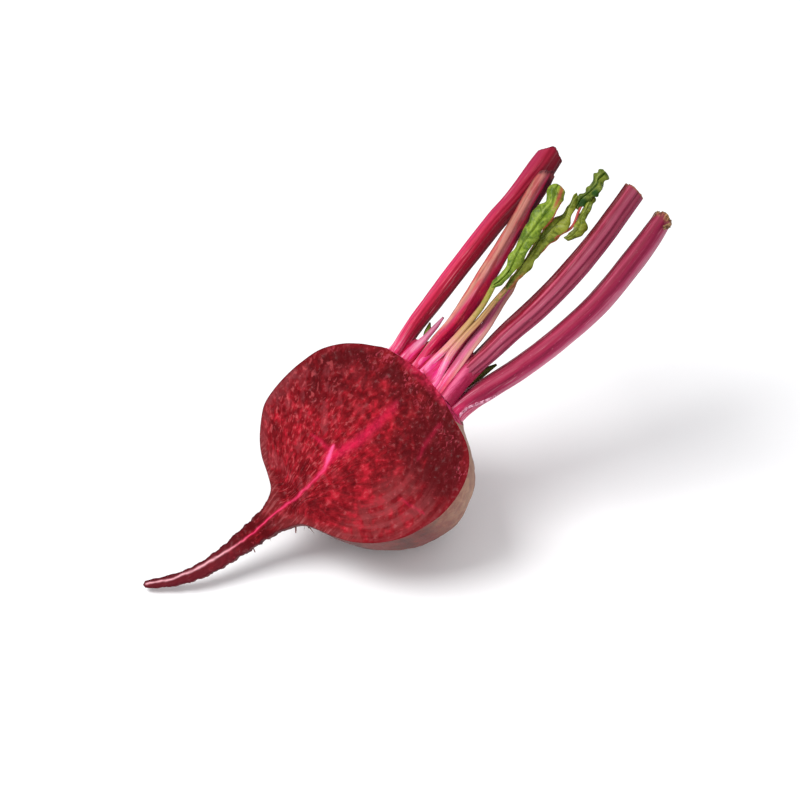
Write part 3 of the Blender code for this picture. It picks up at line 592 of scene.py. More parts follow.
class Shader:
    """One material: the nodes that feed its surface, its values by name, and its colour so far.

    A grain is noise: a painted vector that it follows, or its turn in the cut in degrees, then
    the size of its features in millimetres, its detail, its roughness and its swirl.
    """

    def __init__(self, name, grains):
        self.material = bpy.data.materials.new(name)
        self.material.use_nodes = True
        self.tree = self.material.node_tree
        self.surface = self.tree.nodes["Principled BSDF"]
        self.values = {key: self.grain(*row) for key, row in grains.items()}
        self.colour = None

    def __getitem__(self, name):
        """A value kept under the name, or else the one painted on the piece."""
        if name not in self.values:
            self[name] = self.node("ShaderNodeAttribute", {}, output="Fac", attribute_name=name)
        return self.values[name]

    def __setitem__(self, name, value):
        self.values[name] = value

    def put(self, socket, value):
        """Link a socket or set its value."""
        if isinstance(value, Socket):
            self.tree.links.new(value.output, socket)
        elif hasattr(value, "__len__"):
            socket.default_value = (*value, 1.0) if socket.type == "RGBA" and len(value) == 3 else value
        else:
            socket.default_value = value

    def node(self, kind, sockets, output=0, stops=(), **settings):
        """Add a node: its settings first, then the values or links of its sockets."""
        made = self.tree.nodes.new(kind)
        for key, value in settings.items():
            setattr(made, key, value)
        for number, (place, colour) in enumerate(stops):
            elements = made.color_ramp.elements
            stop = elements[number] if number < len(elements) else elements.new(place)
            stop.position = place
            stop.color = (*colour, 1.0)
        for key, value in sockets.items():
            self.put(made.inputs[key], value)
        return Socket(self, made.outputs[output])

    def cut_place(self, turn, size):
        """Place in the cut's frame, turned in the cut and counted in features of the size."""
        place = self.node("ShaderNodeTexCoord", {}, output="Object")
        for location, turns, scale in (
                (Vector(FACE_CENTRE) * MM, CUT_TURN, (MM, MM, MM)),
                ((0.0, 0.0, 0.0), (0.0, 0.0, turn), size)):
            place = self.node("ShaderNodeMapping", {
                "Vector": place, "Location": location, "Rotation": [radians(a) for a in turns],
                "Scale": scale}, vector_type="TEXTURE")
        return place

    def grain(self, follows, size, detail=2.0, roughness=0.5, swirl=0.0):
        size = size if isinstance(size, tuple) else (size, size, size)
        if isinstance(follows, str):
            vector = self.node("ShaderNodeAttribute", {}, output="Vector", attribute_name=follows)
            place = self.node("ShaderNodeVectorMath", {0: vector, 1: size}, operation="DIVIDE")
        else:
            place = self.cut_place(follows, size)
        return self.node("ShaderNodeTexNoise", {
            "Vector": place, "Scale": 1.0, "Detail": detail, "Roughness": roughness,
            "Distortion": swirl}, output="Fac")

    def between(self, value, low, high, least=0.0, most=1.0):
        """Ease from the least to the most as the value goes from low to high."""
        return self.node("ShaderNodeMapRange", {
            "Value": value, "From Min": low, "From Max": high, "To Min": least, "To Max": most},
            interpolation_type="SMOOTHSTEP")

    def mix(self, first, second, factor, blend="MIX"):
        return self.node("ShaderNodeMix", {0: factor, 6: first, 7: second}, output=2,
                         data_type="RGBA", blend_type=blend)

    def ramp(self, value, stops):
        return self.node("ShaderNodeValToRGB", {"Fac": value}, stops=stops)

    def wash(self, washes, **shades):
        """Lay washes over the colour so far.

        A wash is its shade or the name of one, the mask that holds it in and the grain that
        breaks it up, each blank for none, then the grain's low and high limits with the strength
        at each. With no grain, its strength alone.
        """
        for shade, mask, grain, *limits in washes:
            strength = self.between(self[grain], *limits) if grain else limits[0]
            if mask:
                strength = self[mask] * strength
            target = shades[shade] if isinstance(shade, str) else linear(shade)
            self.colour = self.mix(self.colour, target, strength)

    def finish(self, relief=None, strength=0.0, height=0.0, **sockets):
        """Set the surface, with its sockets' blanks as underscores, and its fine relief."""
        if relief:
            sockets["Normal"] = self.node("ShaderNodeBump", {
                "Height": relief, "Strength": strength, "Distance": height}, output="Normal")
        for key, value in {"Base_Color": self.colour, **sockets}.items():
            self.put(self.surface.inputs[key.replace("_", " ")], value)
        return self.material


FLESH_GRAINS = {
    "streaks": ("rays", (4.1667, 1.6667, 1.0), 3.0, 0.5, 0.6),
    "rings": ("arcs", (2.2222, 11.1111, 1.0), 3.0, 0.55, 0.4),
    "strokes": ("rays", (2.7778, 1.2195, 1.0), 2.0, 0.5, 0.7),
    "bands": ("arcs", (2.5, 33.3333, 1.0), 2.0, 0.5, 0.2),
    "grit": (0.0, 2.0, 2.0, 0.5, 0.3),
    "patches": (0.0, 8.3333, 3.0, 0.55, 0.9),
    "painted_glints": (0.0, 1.4286, 1.0, 0.5, 0.2),
    "mottle": (58.0, (9.0, 4.2, 1.0), 2.0, 0.5, 0.6),
    "wisps": (20.0, (2.8, 1.7, 1.0), 1.5, 0.5, 1.6),
    "fibres": (4.0, (7.0, 0.9, 1.0), 2.0, 0.5, 0.4),
}
DARKEST_FLESH = (78, 4, 10)
WETTEST_FLESH = (182, 30, 46)
NODE_PINK = (246, 96, 150)
FLESH_WASHES = (
    ((142, 58, 60), "banded", "mottle", 0.62, 0.4, 0.0, 0.42),
    ((124, 46, 52), "ashen", "streak", 0.4, 0.6, 0.8, 0.4),
    ((110, 9, 20), "rim", "", 0.8),
    ((122, 48, 54), "dull", "mottle", 0.52, 0.64, 0.0, 0.5),
    ((108, 4, 14), "lively", "strokes", 0.47, 0.36, 0.0, 0.65),
    ((184, 78, 82), "lively", "strokes", 0.55, 0.67, 0.0, 0.55),
    ((136, 56, 60), "banded", "bands", 0.48, 0.6, 0.0, 0.46),
    ("core", "core", "flecks", 0.38, 0.54, 0.6, 1.0),
    ((178, 28, 64), "blush", "flecks", 0.4, 0.575, 0.25, 1.0),
    ((172, 62, 78), "frayed", "wisps", 0.55, 0.66, 0.0, 0.6),
    # pale specks: painted highlight standing for wet glints
    ((196, 74, 86), "", "painted_glints", 0.66, 0.78, 0.0, 0.25),
    ((112, 40, 42), "neck", "", 0.6),
    ((166, 86, 88), "neck", "fibres", 0.5, 0.66, 0.0, 0.6),
    ((104, 34, 44), "pale", "", 0.55),
    ("strand", "strand", "grit", 0.3, 0.55, 0.7, 1.0),
    ((72, 14, 24), "edge", "", 0.6),
)


def flesh_material(colours):
    """Wet cut flesh: knife streaks, growth rings, a bright core, pale strands and pale specks painted as
    wet glints.
    """
    shader = Shader("beet_flesh", FLESH_GRAINS)
    grit, patches = shader["grit"], shader["patches"]
    streak = shader["streaks"] + (shader["rings"] - shader["streaks"]) * shader["ringy"]
    shader["streak"] = streak
    shader["flecks"] = (grit + streak) * 0.5
    shader["lively"] = shader["dull"] * shader.between(patches, 0.38, 0.56, 0.3, 1.0)
    shader["frayed"] = shader["fray"] * shader.between(patches, 0.44, 0.58, 0.1, 1.0)
    wetness = (streak * 0.6 + grit * 0.4 - 0.5) * 2.5
    tone = shader["tone"] + (patches - 0.5) * 1.2 + (shader["mottle"] - 0.5) * 1.15
    shader.colour = shader.ramp(shader.between(wetness + tone, -0.3, 1.3), (
        (0.0, linear(DARKEST_FLESH)), (0.28, colours.flesh_deep), (0.52, colours.flesh),
        (0.76, colours.flesh_bright), (1.0, linear(WETTEST_FLESH))))
    strand = shader.mix(colours.core, linear(NODE_PINK), shader["pink"])
    strand = shader.mix(strand, colours.strand, shader["pale"])
    shader.wash(FLESH_WASHES, core=colours.core, strand=strand)
    return shader.finish(
        streak * 0.9 + grit * 0.25, 0.6, 0.0009,
        Roughness=shader.between(grit, 0.3, 0.7, 0.55, 0.36), Specular_IOR_Level=0.03,
        Coat_Weight=shader.between(grit, 0.58, 0.72, 0.0, 0.1), Coat_Roughness=0.25)


SKIN_GRAINS = {
    "blotch": (0.0, 11.1111, 4.0, 0.6, 0.5),
    "scurf": (0.0, 2.381, 4.0, 0.65, 0.3),
    "lines": (0.0, (0.8, 5.0, 5.0), 3.0, 0.6, 0.4),
}
SKIN_WASHES = (
    ("deep", "", "blotch", 0.42, 0.66),
    ((130, 66, 62), "", "scurf", 0.5, 0.72, 0.0, 0.5),
    ((96, 66, 58), "", "lines", 0.54, 0.7, 0.0, 0.45),
    ("dust", "dust", "cork", 0.4, 0.56, 0.5, 1.0),
    ((62, 36, 36), "pores", "", 0.5),
)
PORE_SPACING = 1.8182


def skin_material(colours):
    """Dull purple skin with dark blotches, pores, fine rings and grey-brown cork."""
    shader = Shader("beet_skin", SKIN_GRAINS)
    scurf = shader["scurf"]
    cells = shader.node("ShaderNodeTexVoronoi", {
        "Vector": shader.cut_place(0.0, (PORE_SPACING,) * 3), "Scale": 1.0}, output="Distance")
    shader["pores"] = shader.between(cells, 0.02, 0.13, 1.0, 0.0)
    shader["cork"] = (scurf + shader["blotch"]) * 0.5
    shader.colour = colours.skin
    shader.wash(SKIN_WASHES, deep=colours.skin_deep, dust=colours.skin_dust)
    return shader.finish(
        scurf * 0.6 + shader["lines"] * 0.5 - shader["pores"] * 0.25, 0.5, 0.0005,
        Roughness=shader.between(scurf, 0.3, 0.7, 0.5, 0.68), Specular_IOR_Level=0.2)


CROWN_GRAINS = {
    "fibres": (0.0, (3.0, 0.7, 0.7), 3.0, 0.6, 0.4),
    "lumps": (0.0, 2.0, 4.0, 0.62, 0.5),
}
CROWN_CORK = (92, 62, 54)
CROWN_RED = (150, 24, 56)
CROWN_WASHES = (
    ((126, 84, 76), "", "lumps", 0.42, 0.6),
    ("pink", "front", "", 1.0),
    ((190, 150, 140), "", "fibres", 0.58, 0.74, 0.0, 0.45),
)


def crown_material(colours):
    """Fibrous tissue between the stalks: pink at the cut, brown and corky behind."""
    shader = Shader("crown_tissue", CROWN_GRAINS)
    lumps = shader["lumps"]
    shader.colour = linear(CROWN_CORK)
    pink = shader.mix(colours.crown, linear(CROWN_RED), shader.between(lumps, 0.4, 0.6))
    shader.wash(CROWN_WASHES, pink=pink)
    return shader.finish(shader["fibres"] * 0.6 + lumps, 0.7, 0.0009,
                         Roughness=0.6, Specular_IOR_Level=0.15)


STALK_GRAINS = {
    "fibres": ("grain", (0.6667, 0.6667, 14.2857), 3.0, 0.6, 0.2),
    "blotch": ("grain", (2.8571, 2.8571, 11.1111), 3.0, 0.6, 0.4),
    "flecks": ("grain", (0.4545, 0.4545, 1.4286), 2.0, 0.7),
}
STALK_SHADE = (0.45, 0.4, 0.42)
STALK_LIGHT = (236, 190, 196)
FOOT_LIGHT = (240, 160, 188)
# The darker copy is the colour in painted shade. Over the fibres it only marks their grain; in the rib
# grooves and towards the far end it is painted shade.
STALK_WASHES = (
    ("darker", "", "fibres", 0.5, 0.3, 0.0, 0.45),
    ("paler", "", "fibres", 0.56, 0.74, 0.0, 0.5),
    ("darker", "groove", "", 0.5),
    ("paler", "", "flecks", 0.66, 0.76, 0.0, 0.35),
    ("pink", "foot", "", 1.0),
    ("darker", "far", "", 0.5),
    ("dried", "dried", "", 1.0),
)


def stalk_material(name, spec):
    """Ribbed juicy stalk: colour bands round it with painted highlight and shade, fibres along it, painted
    shade in its grooves and far end, a pink foot, a dried end.
    """
    shader = Shader(name + "_skin", STALK_GRAINS)
    fibres, blotch, flecks = (shader[key] for key in STALK_GRAINS)
    band = shader["band"] + (fibres - 0.5) * 0.14 + (blotch - 0.5) * 0.12
    # The bands hold the stalk's own stripes with painted highlight and painted shade across it.
    shader.colour = shader.ramp(band, [(place, linear(shade)) for place, shade in spec["bands"]])
    if "blush" in spec:
        shader.wash([(spec["blush"], "", "blotch", 0.47, 0.6, 0.0, 0.6)])
    ends = [linear(shade) for shade in spec["end"]]
    shader.wash(
        STALK_WASHES,
        darker=shader.mix(shader.colour, STALK_SHADE, 1.0, "MULTIPLY"),
        paler=shader.mix(shader.colour, linear(STALK_LIGHT), 0.5),
        pink=shader.mix(linear(spec["foot"]), linear(FOOT_LIGHT), shader.between(fibres, 0.48, 0.72)),
        dried=shader.mix(*ends, shader.between(flecks, 0.4, 0.6)))
    return shader.finish(fibres * 0.7 + flecks * 0.25, 0.45, 0.0004,
                         Roughness=shader.between(fibres, 0.3, 0.7, 0.52, 0.38),
                         Specular_IOR_Level=0.12)


LEAF_GRAINS = {
    "cells": (0.0, 0.9091, 3.0, 0.6, 0.3),
    "patches": (0.0, 3.5714, 2.0, 0.5, 0.4),
}
LEAF_HIGHLIGHT = (196, 208, 110)
LEAF_WASHES = (
    # The dark wash over the folds is painted shade.
    ("bright", "veins", "", 0.45), ("dark", "hollow", "", 0.75), ("vein", "red", "", 1.0),
    # the tip's own darker green, with painted shade in its curls and folds
    ((36, 70, 18), "tip", "", 1.0),
)


def leaf_material(name, light, dark, vein):
    """Young beet leaf: glossy green between pale side veins, with red midrib and margins, and painted
    shade in its folds.
    """
    shader = Shader(name, LEAF_GRAINS)
    cells = shader["cells"]
    lit = shader.between(shader["patches"] + (cells - 0.5) * 0.5, 0.36, 0.62)
    shader.colour = shader.mix(dark, light, lit)
    bright = shader.mix(light, linear(LEAF_HIGHLIGHT), 0.5)
    shader.wash(LEAF_WASHES, bright=bright, dark=dark, vein=vein)
    return shader.finish(cells, 0.35, 0.0003, Roughness=0.36, Specular_IOR_Level=0.18,
                         Subsurface_Weight=0.08, Subsurface_Radius=(0.4, 0.6, 0.1),
                         Subsurface_Scale=0.002)


SCRAP_GRAINS = {
    "fibres": (35.0, (2.4, 0.4, 0.5), 3.0, 0.6, 0.5),
    "blotch": (0.0, 1.1111),
}


def scrap_material(name, light, dark):
    """Dried plant skin, blotched and fibrous."""
    shader = Shader(name, SCRAP_GRAINS)
    fibres = shader["fibres"]
    lit = shader.between(fibres * 0.6 + shader["blotch"] * 0.4, 0.4, 0.6)
    shader.colour = shader.mix(linear(dark), linear(light), lit)
    return shader.finish(fibres, 0.5, 0.0004, Roughness=0.6, Specular_IOR_Level=0.2)


def hair_material(light, dark):
    """Fine dried root hairs."""
    shader = Shader("root_hair", {"tint": (0.0, 0.8333)})
    shader.colour = shader.mix(linear(dark), linear(light), shader.between(shader["tint"], 0.4, 0.6))
    return shader.finish(Roughness=0.7)


FAN_GRAINS = {"fibres": (0.0, (4.5, 0.5, 0.6), 3.0, 0.6, 0.3)}
FAN_RIDGES = (
    (0.0, (122, 6, 30)), (0.2, (178, 14, 58)), (0.42, (202, 32, 108)), (0.66, (212, 56, 120)),
    (1.0, (230, 120, 162)),
)
FAN_ROSE = ((150, 24, 68), (214, 104, 136))
FAN_WASHES = (
    ((176, 34, 62), "", "foot", 0.2, 0.0, 0.0, 0.85),
    ((200, 102, 112), "middle", "ridges", 0.6, 0.95, 0.0, 0.55),
    # deep red between the ridges: partly their own colour, partly painted shade in the hollows
    ((170, 22, 58), "upper", "ridges", 0.6, 0.3, 0.0, 0.7),
    ("rose", "right", "", 0.75),
    ((170, 50, 82), "", "head", 0.45, 0.95, 0.0, 0.85),
)


def fan_material():
    """Magenta stalk feet with white-pink ridges, deep red at the foot, and deep red in the hollows that is
    partly their own colour and partly painted shade.
    """
    shader = Shader("crown_fan", FAN_GRAINS)
    fibres, rise = shader["fibres"], shader["rise"]
    ridges = shader["ridge"] + (fibres - 0.5) * 0.9
    shader["ridges"] = ridges
    shader["foot"] = rise + (fibres - 0.5) * 0.25
    shader["head"] = rise + (fibres - 0.5) * 0.5
    shader["middle"] = shader.between(rise, 0.25, 0.8)
    shader["upper"] = shader.between(rise, 0.5, 0.95)
    shader.colour = shader.ramp(ridges, [(place, linear(shade)) for place, shade in FAN_RIDGES])
    rose = shader.mix(*(linear(shade) for shade in FAN_ROSE), shader.between(ridges, 0.1, 0.85))
    shader.wash(FAN_WASHES, rose=rose)
    return shader.finish(fibres, 0.4, 0.0004, Roughness=0.42, Specular_IOR_Level=0.12)


def floor_material(colours):
    """Matt white studio paper."""
    shader = Shader("studio_paper", {"tooth": (0.0, 1.1111)})
    shader.colour = shader.mix(colours.floor, (1.0, 1.0, 1.0), shader["tooth"] * 0.1)
    return shader.finish(Roughness=0.7, Specular_IOR_Level=0.2)


# The root


def crown_x(across, out):
    """Height of the crown's dome along the root."""
    spread = np.hypot(across - CROWN_CENTRE[0], out - CROWN_CENTRE[1])
    return CROWN_TOP - CROWN_DROP * (spread / CROWN_RADIUS) ** 2


def root_rows():
    """Even stations of the whole root: along, across, out of the cut, half width."""
    bulb = [(x, y, 0.0, w) for x, y, w in BULB]
    return even_rows(bulb + list(TAPROOT), ROOT_PITCH)[0]


def station_frames(rows):
    """Directions across and out of the cut at each station."""
    bend = smoothstep(NECK_START, NECK_END, rows[:, 0])[:, None]
    ahead = unit((1 - bend) * np.array([1.0, 0.0, 0.0]) - bend * tangents(rows))
    across = unit(np.cross([0.0, 0.0, 1.0], ahead))
    return across, np.cross(ahead, across)


def skin_swell(x, turn, edge):
    """Swelling of the skin: low lumps, leaf collars near the crown, the taproot's wrinkles."""
    lumps = 0.012 * (np.sin(2 * turn + 0.09 * x) + 0.6 * np.sin(3 * turn - 0.13 * x + 1.0))
    lumps = lumps * smoothstep(NECK_END, NECK_START, x)
    collar = 0.02 * np.sin(2 * pi * x / COLLAR_PITCH) * smoothstep(20.0, 27.0, x)
    wave = np.sin(2 * pi * x / WRINKLE_PITCH + 1.4 * np.sin(turn) + 0.8 * sin(0.5 * x))
    finer = np.sin(2 * pi * x / FINE_WRINKLE_PITCH + 2.2 * np.sin(turn + 0.4) + 1.3 * sin(0.9 * x))
    wrinkle = (0.06 * wave + 0.035 * finer) * smoothstep(NECK_START, NECK_END, x)
    return 1.0 + (lumps + collar) * edge + wrinkle


def ring_spread(x, y):
    """Distance from the middle of the growth rings: 1 at the outermost one."""
    return np.hypot((x - RING_CENTRE[0]) / RING_REACH[0], (y - RING_CENTRE[1]) / RING_REACH[1])


def root_ring(row, across, out):
    """One ring round the flat cut and the skin, and how far each point is round the skin."""
    x, half = row[0], row[3]
    offset = CUT_OFFSET * half
    radius = np.hypot(half, offset)
    start = np.arctan2(offset, half)
    share = np.linspace(0, 1, SKIN_COLUMNS + 1)
    turn = pi - start + (pi + 2 * start) * share
    swell = skin_swell(x, turn, np.sin(pi * share).clip(0) ** 0.5)
    depth = ((offset - radius * np.sin(turn)) * BACK_DEPTH * swell).clip(0)
    face = np.linspace(1, -1, FACE_COLUMNS + 1)
    side = np.concatenate([half * face * swell[0], (radius * np.cos(turn) * swell)[1:]])
    depth = np.concatenate([np.zeros(FACE_COLUMNS + 1), depth[1:]])
    skin_share = np.concatenate([np.full(FACE_COLUMNS + 1, ON_CUT), share[1:]])
    ring = row[:3] + side[:, None] * across - depth[:, None] * out
    ring[:, 0] -= BACK_TUCK * fade(x, *TUCK_SPANS) * depth
    ring[:, 1] -= BACK_LEAN * fade(x, *LEAN_SPANS) * depth
    flat = np.zeros(len(ring))
    flat[:len(face)] = np.minimum(1.0, 6.0 * (1.0 - np.abs(face))) * smoothstep(-44.0, -30.0, x)
    rings = np.sin(2 * pi * RING_COUNT * ring_spread(ring[:, 0], ring[:, 1])) * flat
    return ring + RING_DEPTH * rings[:, None] * out, skin_share


def root_sheet():
    """Points of the whole root from the crown's middle to the taproot's tip, how far each is
    round the skin, the way out of the cut and the half width of each row."""
    rows = root_rows()
    across, out = station_frames(rows)
    body, skin = (np.array(made) for made in zip(*map(root_ring, rows, across, out)))
    rim = body[0]
    rim[:, 0] = crown_x(rim[:, 1], rim[:, 2])
    centre = np.array([CROWN_TOP, *CROWN_CENTRE])
    cap = np.array([centre + share * (rim - centre) for share in np.arange(CAP_ROWS) / CAP_ROWS])
    cap[..., 0] = crown_x(cap[..., 1], cap[..., 2])
    end = np.mean(body[-1], axis=0) + TIP_SHIFT
    turn = 0.5 * pi * np.arange(1, TIP_ROWS + 1)[:, None, None] / TIP_ROWS
    tip = end + (body[-1] - end) * np.cos(turn) + (1 - np.cos(turn)) * TIP_BEND
    tip[-1] = tip[-1].mean(axis=0)
    repeats = np.ones(len(rows), int)
    repeats[[0, -1]] += CAP_ROWS, TIP_ROWS
    skin = np.repeat(skin, repeats, axis=0)
    skin[:CAP_ROWS] = ON_CROWN
    sheet = np.concatenate([cap, body, tip])
    return sheet, skin, np.repeat(out, repeats, axis=0), np.repeat(rows[:, 3], repeats)


def roughen_root(sheet, skin, outward, sizes):
    """Knife streaks on the cut, lumps on the skin, ragged tissue on the crown."""
    face = skin == ON_CUT
    face[:, [0, FACE_COLUMNS]] = False
    along, beside = STREAK_WAY
    turned = sheet @ np.array(((along, -beside, 0.0), (beside, along, 0.0), (0.0, 0.0, 1.0)))
    streak = soft_noise(turned / np.array((3.4, 1.0, 1.0)), 1.5, 3.0)
    lift = face * sizes.flesh_relief / MM * (streak + 1.2 * soft_noise(sheet, 9.0, 8.0))
    outside = unit((sheet - SKIN_CENTRE) * (0.0, 1.0, 1.0))
    lumps = sizes.skin_relief / MM * (soft_noise(sheet, 7.0, 5.0, 3) + 0.5 * soft_noise(sheet, 2.2, 1.0))
    lumps *= np.clip(np.minimum(skin, 1.0 - skin) * 12.0, 0.0, 1.0) * (skin > 0)
    lumps *= smoothstep(-55.0, -36.0, sheet[..., 0]) * 0.8 + 0.2
    moved = sheet + lift[..., None] * outward[:, None, :] + lumps[..., None] * outside
    rag = (skin == ON_CROWN) * 0.5 * soft_noise(sheet, 1.6, 4.0)
    moved[..., 0] += rag * smoothstep(0, 5, np.arange(len(sheet)))[:, None]
    return moved


# Dark and bright zones of the flesh: along, across, reach along, reach across, strength.
FLESH_ZONES = (
    (27.0, 4.0, 8.0, 26.0, -0.34), (20.3, 11.5, 6.5, 6.5, -0.4), (20.0, 11.0, 2.6, 2.6, 0.35),
    (19.0, -17.0, 13.0, 14.0, -0.7), (8.0, -35.0, 15.0, 7.0, -0.3), (12.0, 32.0, 17.0, 10.0, -0.5),
    (-6.0, 17.0, 12.0, 12.0, 0.12), (12.0, 5.0, 11.0, 7.0, 0.22), (-16.0, 25.0, 8.0, 8.0, 0.08),
    (-8.0, -10.0, 12.0, 10.0, 0.12), (-15.0, -20.0, 10.0, 10.0, -0.05),
    (16.0, 22.0, 8.0, 8.0, -0.12), (-30.0, 5.0, 8.0, 10.0, -0.2), (10.0, -29.0, 12.0, 8.0, -0.34),
)
FLESH_TONE = 0.42
TAPROOT_TONE = 0.05
# Patches of the root's paints: the spans over which each sets in, along the root and across it.
PATCHES = {
    "lower": (((-30.0, -12.0),), ((6.0, -12.0),)),
    "top": (((-2.0, 8.0),), ((14.0, 22.0),)),
    "left": (((8.0, -2.0), (-34.0, -24.0)), ((2.0, 10.0),)),
    "upper": ((), ((-4.0, 5.0),)),
    "banded": (((12.0, -4.0),), ((-11.0, -20.0),)),
    "core_end": (((-2.0, 19.0),), ()),
    "node": (((-17.0, -11.0),), ()),
    "neck": (((-22.0, -30.0), (-46.0, -38.0)), ()),
    "straight": (((-28.0, -36.0),), ()),
    "tap": (((-34.0, -46.0),), ()),
    "pale": (((-50.0, -66.0),), ()),
    "stalks": ((), ((-12.0, -8.0), (17.0, 12.0))),
    "shoulder": (((-12.0, 14.0),), ()),
    "collar": (((20.0, 28.0),), ()),
    "by_cut": ((), ((-20.0, -32.0),)),
    "under": (((-38.0, -22.0),), ((-8.0, -24.0),)),
}


def grain_vectors(x, y, straight):
    """Places along the growth rings, and places along the fibres that meet at the neck."""
    level = np.zeros_like(x)
    spread = RING_SIZE * ring_spread(x, y)
    arcs = np.stack([spread, spread * np.arctan2(y - RING_CENTRE[1], x - RING_CENTRE[0]), level], axis=-1)
    ahead, beside = x - RAY_CENTRE[0], y - RAY_CENTRE[1]
    turned = RAY_REACH * np.arctan2(beside, np.maximum(ahead, 0.5))
    rays = np.stack([np.hypot(ahead, beside) * (1 - straight) + straight * ahead,
                     turned * (1 - straight) + straight * 1.6 * beside, level], axis=-1)
    return arcs, rays


def root_paints(sheet, halves):
    """Where the flesh is bright, pale, shaded or edged, and where the skin is dusty."""
    x, y, out = np.moveaxis(sheet, -1, 0)
    ripple, wobble = (soft_noise(sheet, 3.0, seed) for seed in (11.0, 17.0))
    at = SimpleNamespace(**{name: fade(x, *along) * fade(y, *across)
                            for name, (along, across) in PATCHES.items()})
    place = sheet + 0.4 * np.stack([ripple, wobble, np.zeros_like(x)], axis=-1)
    strand = line_mask(place, STRAND)
    for strength, line in SIDE_STRANDS:
        strand = np.maximum(strand, strength * line_mask(place, line))
    share = np.clip(1 - np.abs(1 - 2 * np.arange(sheet.shape[1]) / FACE_COLUMNS), 0, 1)
    inset = share * halves[:, None]
    gap = crown_x(y, out) - x
    arcs, rays = grain_vectors(x, y, at.straight)

    tone = np.full(x.shape, FLESH_TONE)
    for cx, cy, rx, ry, strength in FLESH_ZONES:
        tone += strength * np.exp(-((x - cx) / rx) ** 2 - ((y - cy) / ry) ** 2)
    tone += (TAPROOT_TONE - tone) * at.tap
    tone -= 0.18 * smoothstep(6.0, 0.5, inset) * (1 - at.lower) * (1 - at.top)
    rim = np.maximum(smoothstep(3.4, 0.6, inset) * at.lower,
                     0.8 * smoothstep(3.6, 1.4, inset + 0.6 * ripple) * at.top)
    blush = smoothstep(2.5, 0.2, gap + 1.2 * ripple) * at.stalks
    edge = np.maximum(smoothstep(0.6, 0.1, inset) * (1 - 0.7 * at.lower),
                      at.tap * smoothstep(1.0, 0.35, inset))
    dull = 0.1 + 0.9 * smoothstep(14.0, -6.0, x - 0.3 * y) * at.upper
    ringy = smoothstep(4.0, -12.0, y + 0.1 * x) * smoothstep(10.0, 24.0, arcs[..., 0])
    dust = at.shoulder * (0.3 + 0.7 * np.maximum(at.by_cut, at.collar))
    dust = np.maximum(dust, 0.15 * at.under) * (0.8 + 0.3 * ripple)
    return {
        "strand": strand,
        "pink": smoothstep(0.5, 1.0, strand) * (0.3 + 0.7 * at.node),
        "core": line_mask(place, CORE) * (0.78 - 0.42 * at.core_end),
        "pale": 0.85 * at.pale,
        "tone": tone,
        "rim": rim,
        "edge": edge * (1 - blush),
        "blush": blush,
        "fray": smoothstep(0.2, 1.5, gap) * smoothstep(13.0, 4.0, gap + 2.0 * wobble),
        "ashen": smoothstep(6.5, 1.5, inset + wobble) * at.left,
        "dull": dull * (1 - at.tap),
        "neck": at.neck * smoothstep(9.0, 0.0, inset),
        "banded": at.banded * (1 - at.tap),
        "ringy": 0.75 * ringy * (1 - at.tap),
        "arcs": arcs,
        "rays": rays,
        "front": smoothstep(-13.0, -4.0, out + 1.5 * wobble),
        "dust": np.clip(dust, 0, 1),
    }


def build_root(sizes):
    """The cut root, with flesh on the cut, skin round the back and tissue on the crown."""
    sheet, skin, outward, halves = root_sheet()
    paints = root_paints(sheet, halves)
    sheet = settle(roughen_root(sheet, skin, outward, sizes))
    piece = bent_grid("beet_half", sheet, paints, 50.0)
    layer = piece.data.uv_layers.active.data
    columns, rows = sheet.shape[1] - 1, sheet.shape[0] - 1
    for face in piece.data.polygons:
        u, v = np.mean([layer[loop].uv for loop in face.loop_indices], axis=0)
        on_skin = int(u * columns >= FACE_COLUMNS)
        face.material_index = 2 if v * rows < CAP_ROWS else on_skin
    return piece


# Dry bases of old leaves round the back of the crown: turn in degrees and height.
SCARS = ((251.0, 3.0), (273.0, 3.8), (294.0, 2.8), (315.0, 3.4))
SCAR_STATION = 29.6
SCAR_WIDTH = 7.0
SCAR_THICKNESS = 1.8
SCAR_SINK = 2.5


def build_scars():
    """Short ragged flaps left by old leaves on the crown's shoulder."""
    rows = root_rows()
    across, out = station_frames(rows)
    index = int(np.argmin(np.abs(rows[:, 0] - SCAR_STATION)))
    pieces = []
    for number, (turn, height) in enumerate(SCARS):
        way = cos(radians(turn)) * across[index] + sin(radians(turn)) * out[index]
        base = rows[index, :3] + 0.97 * rows[index, 3] * way
        side = np.cross([1.0, 0.0, 0.0], way)
        level = np.linspace(-SCAR_SINK, height, 16)[:, None]
        angle = np.linspace(0, 2 * pi, 49)[None, :]
        levels = (-SCAR_SINK, 0.4 * height, height)
        wide = 0.5 * SCAR_WIDTH * np.interp(level, levels, (1.0, 0.9, 0.55)) * np.cos(angle)
        thick = 0.5 * SCAR_THICKNESS * np.interp(level, levels, (1.0, 0.8, 0.35)) * np.sin(angle)
        lift = thick - 0.025 * wide ** 2 - 0.8
        sheet = base + wide[..., None] * side + lift[..., None] * way
        rag = 1.1 * soft_noise(sheet, 1.2, 9.0 + number) * smoothstep(0.0, height, level)
        sheet[..., 0] += level + rag
        sheet = sheet + 0.12 * soft_noise(sheet / np.array((4.0, 1.0, 1.0)), 0.7, 4.0)[..., None] * way
        pieces.append(closed_grid(f"scar_{number}", sheet, {}, 60.0))
    return join_pieces("leaf_scars", pieces)
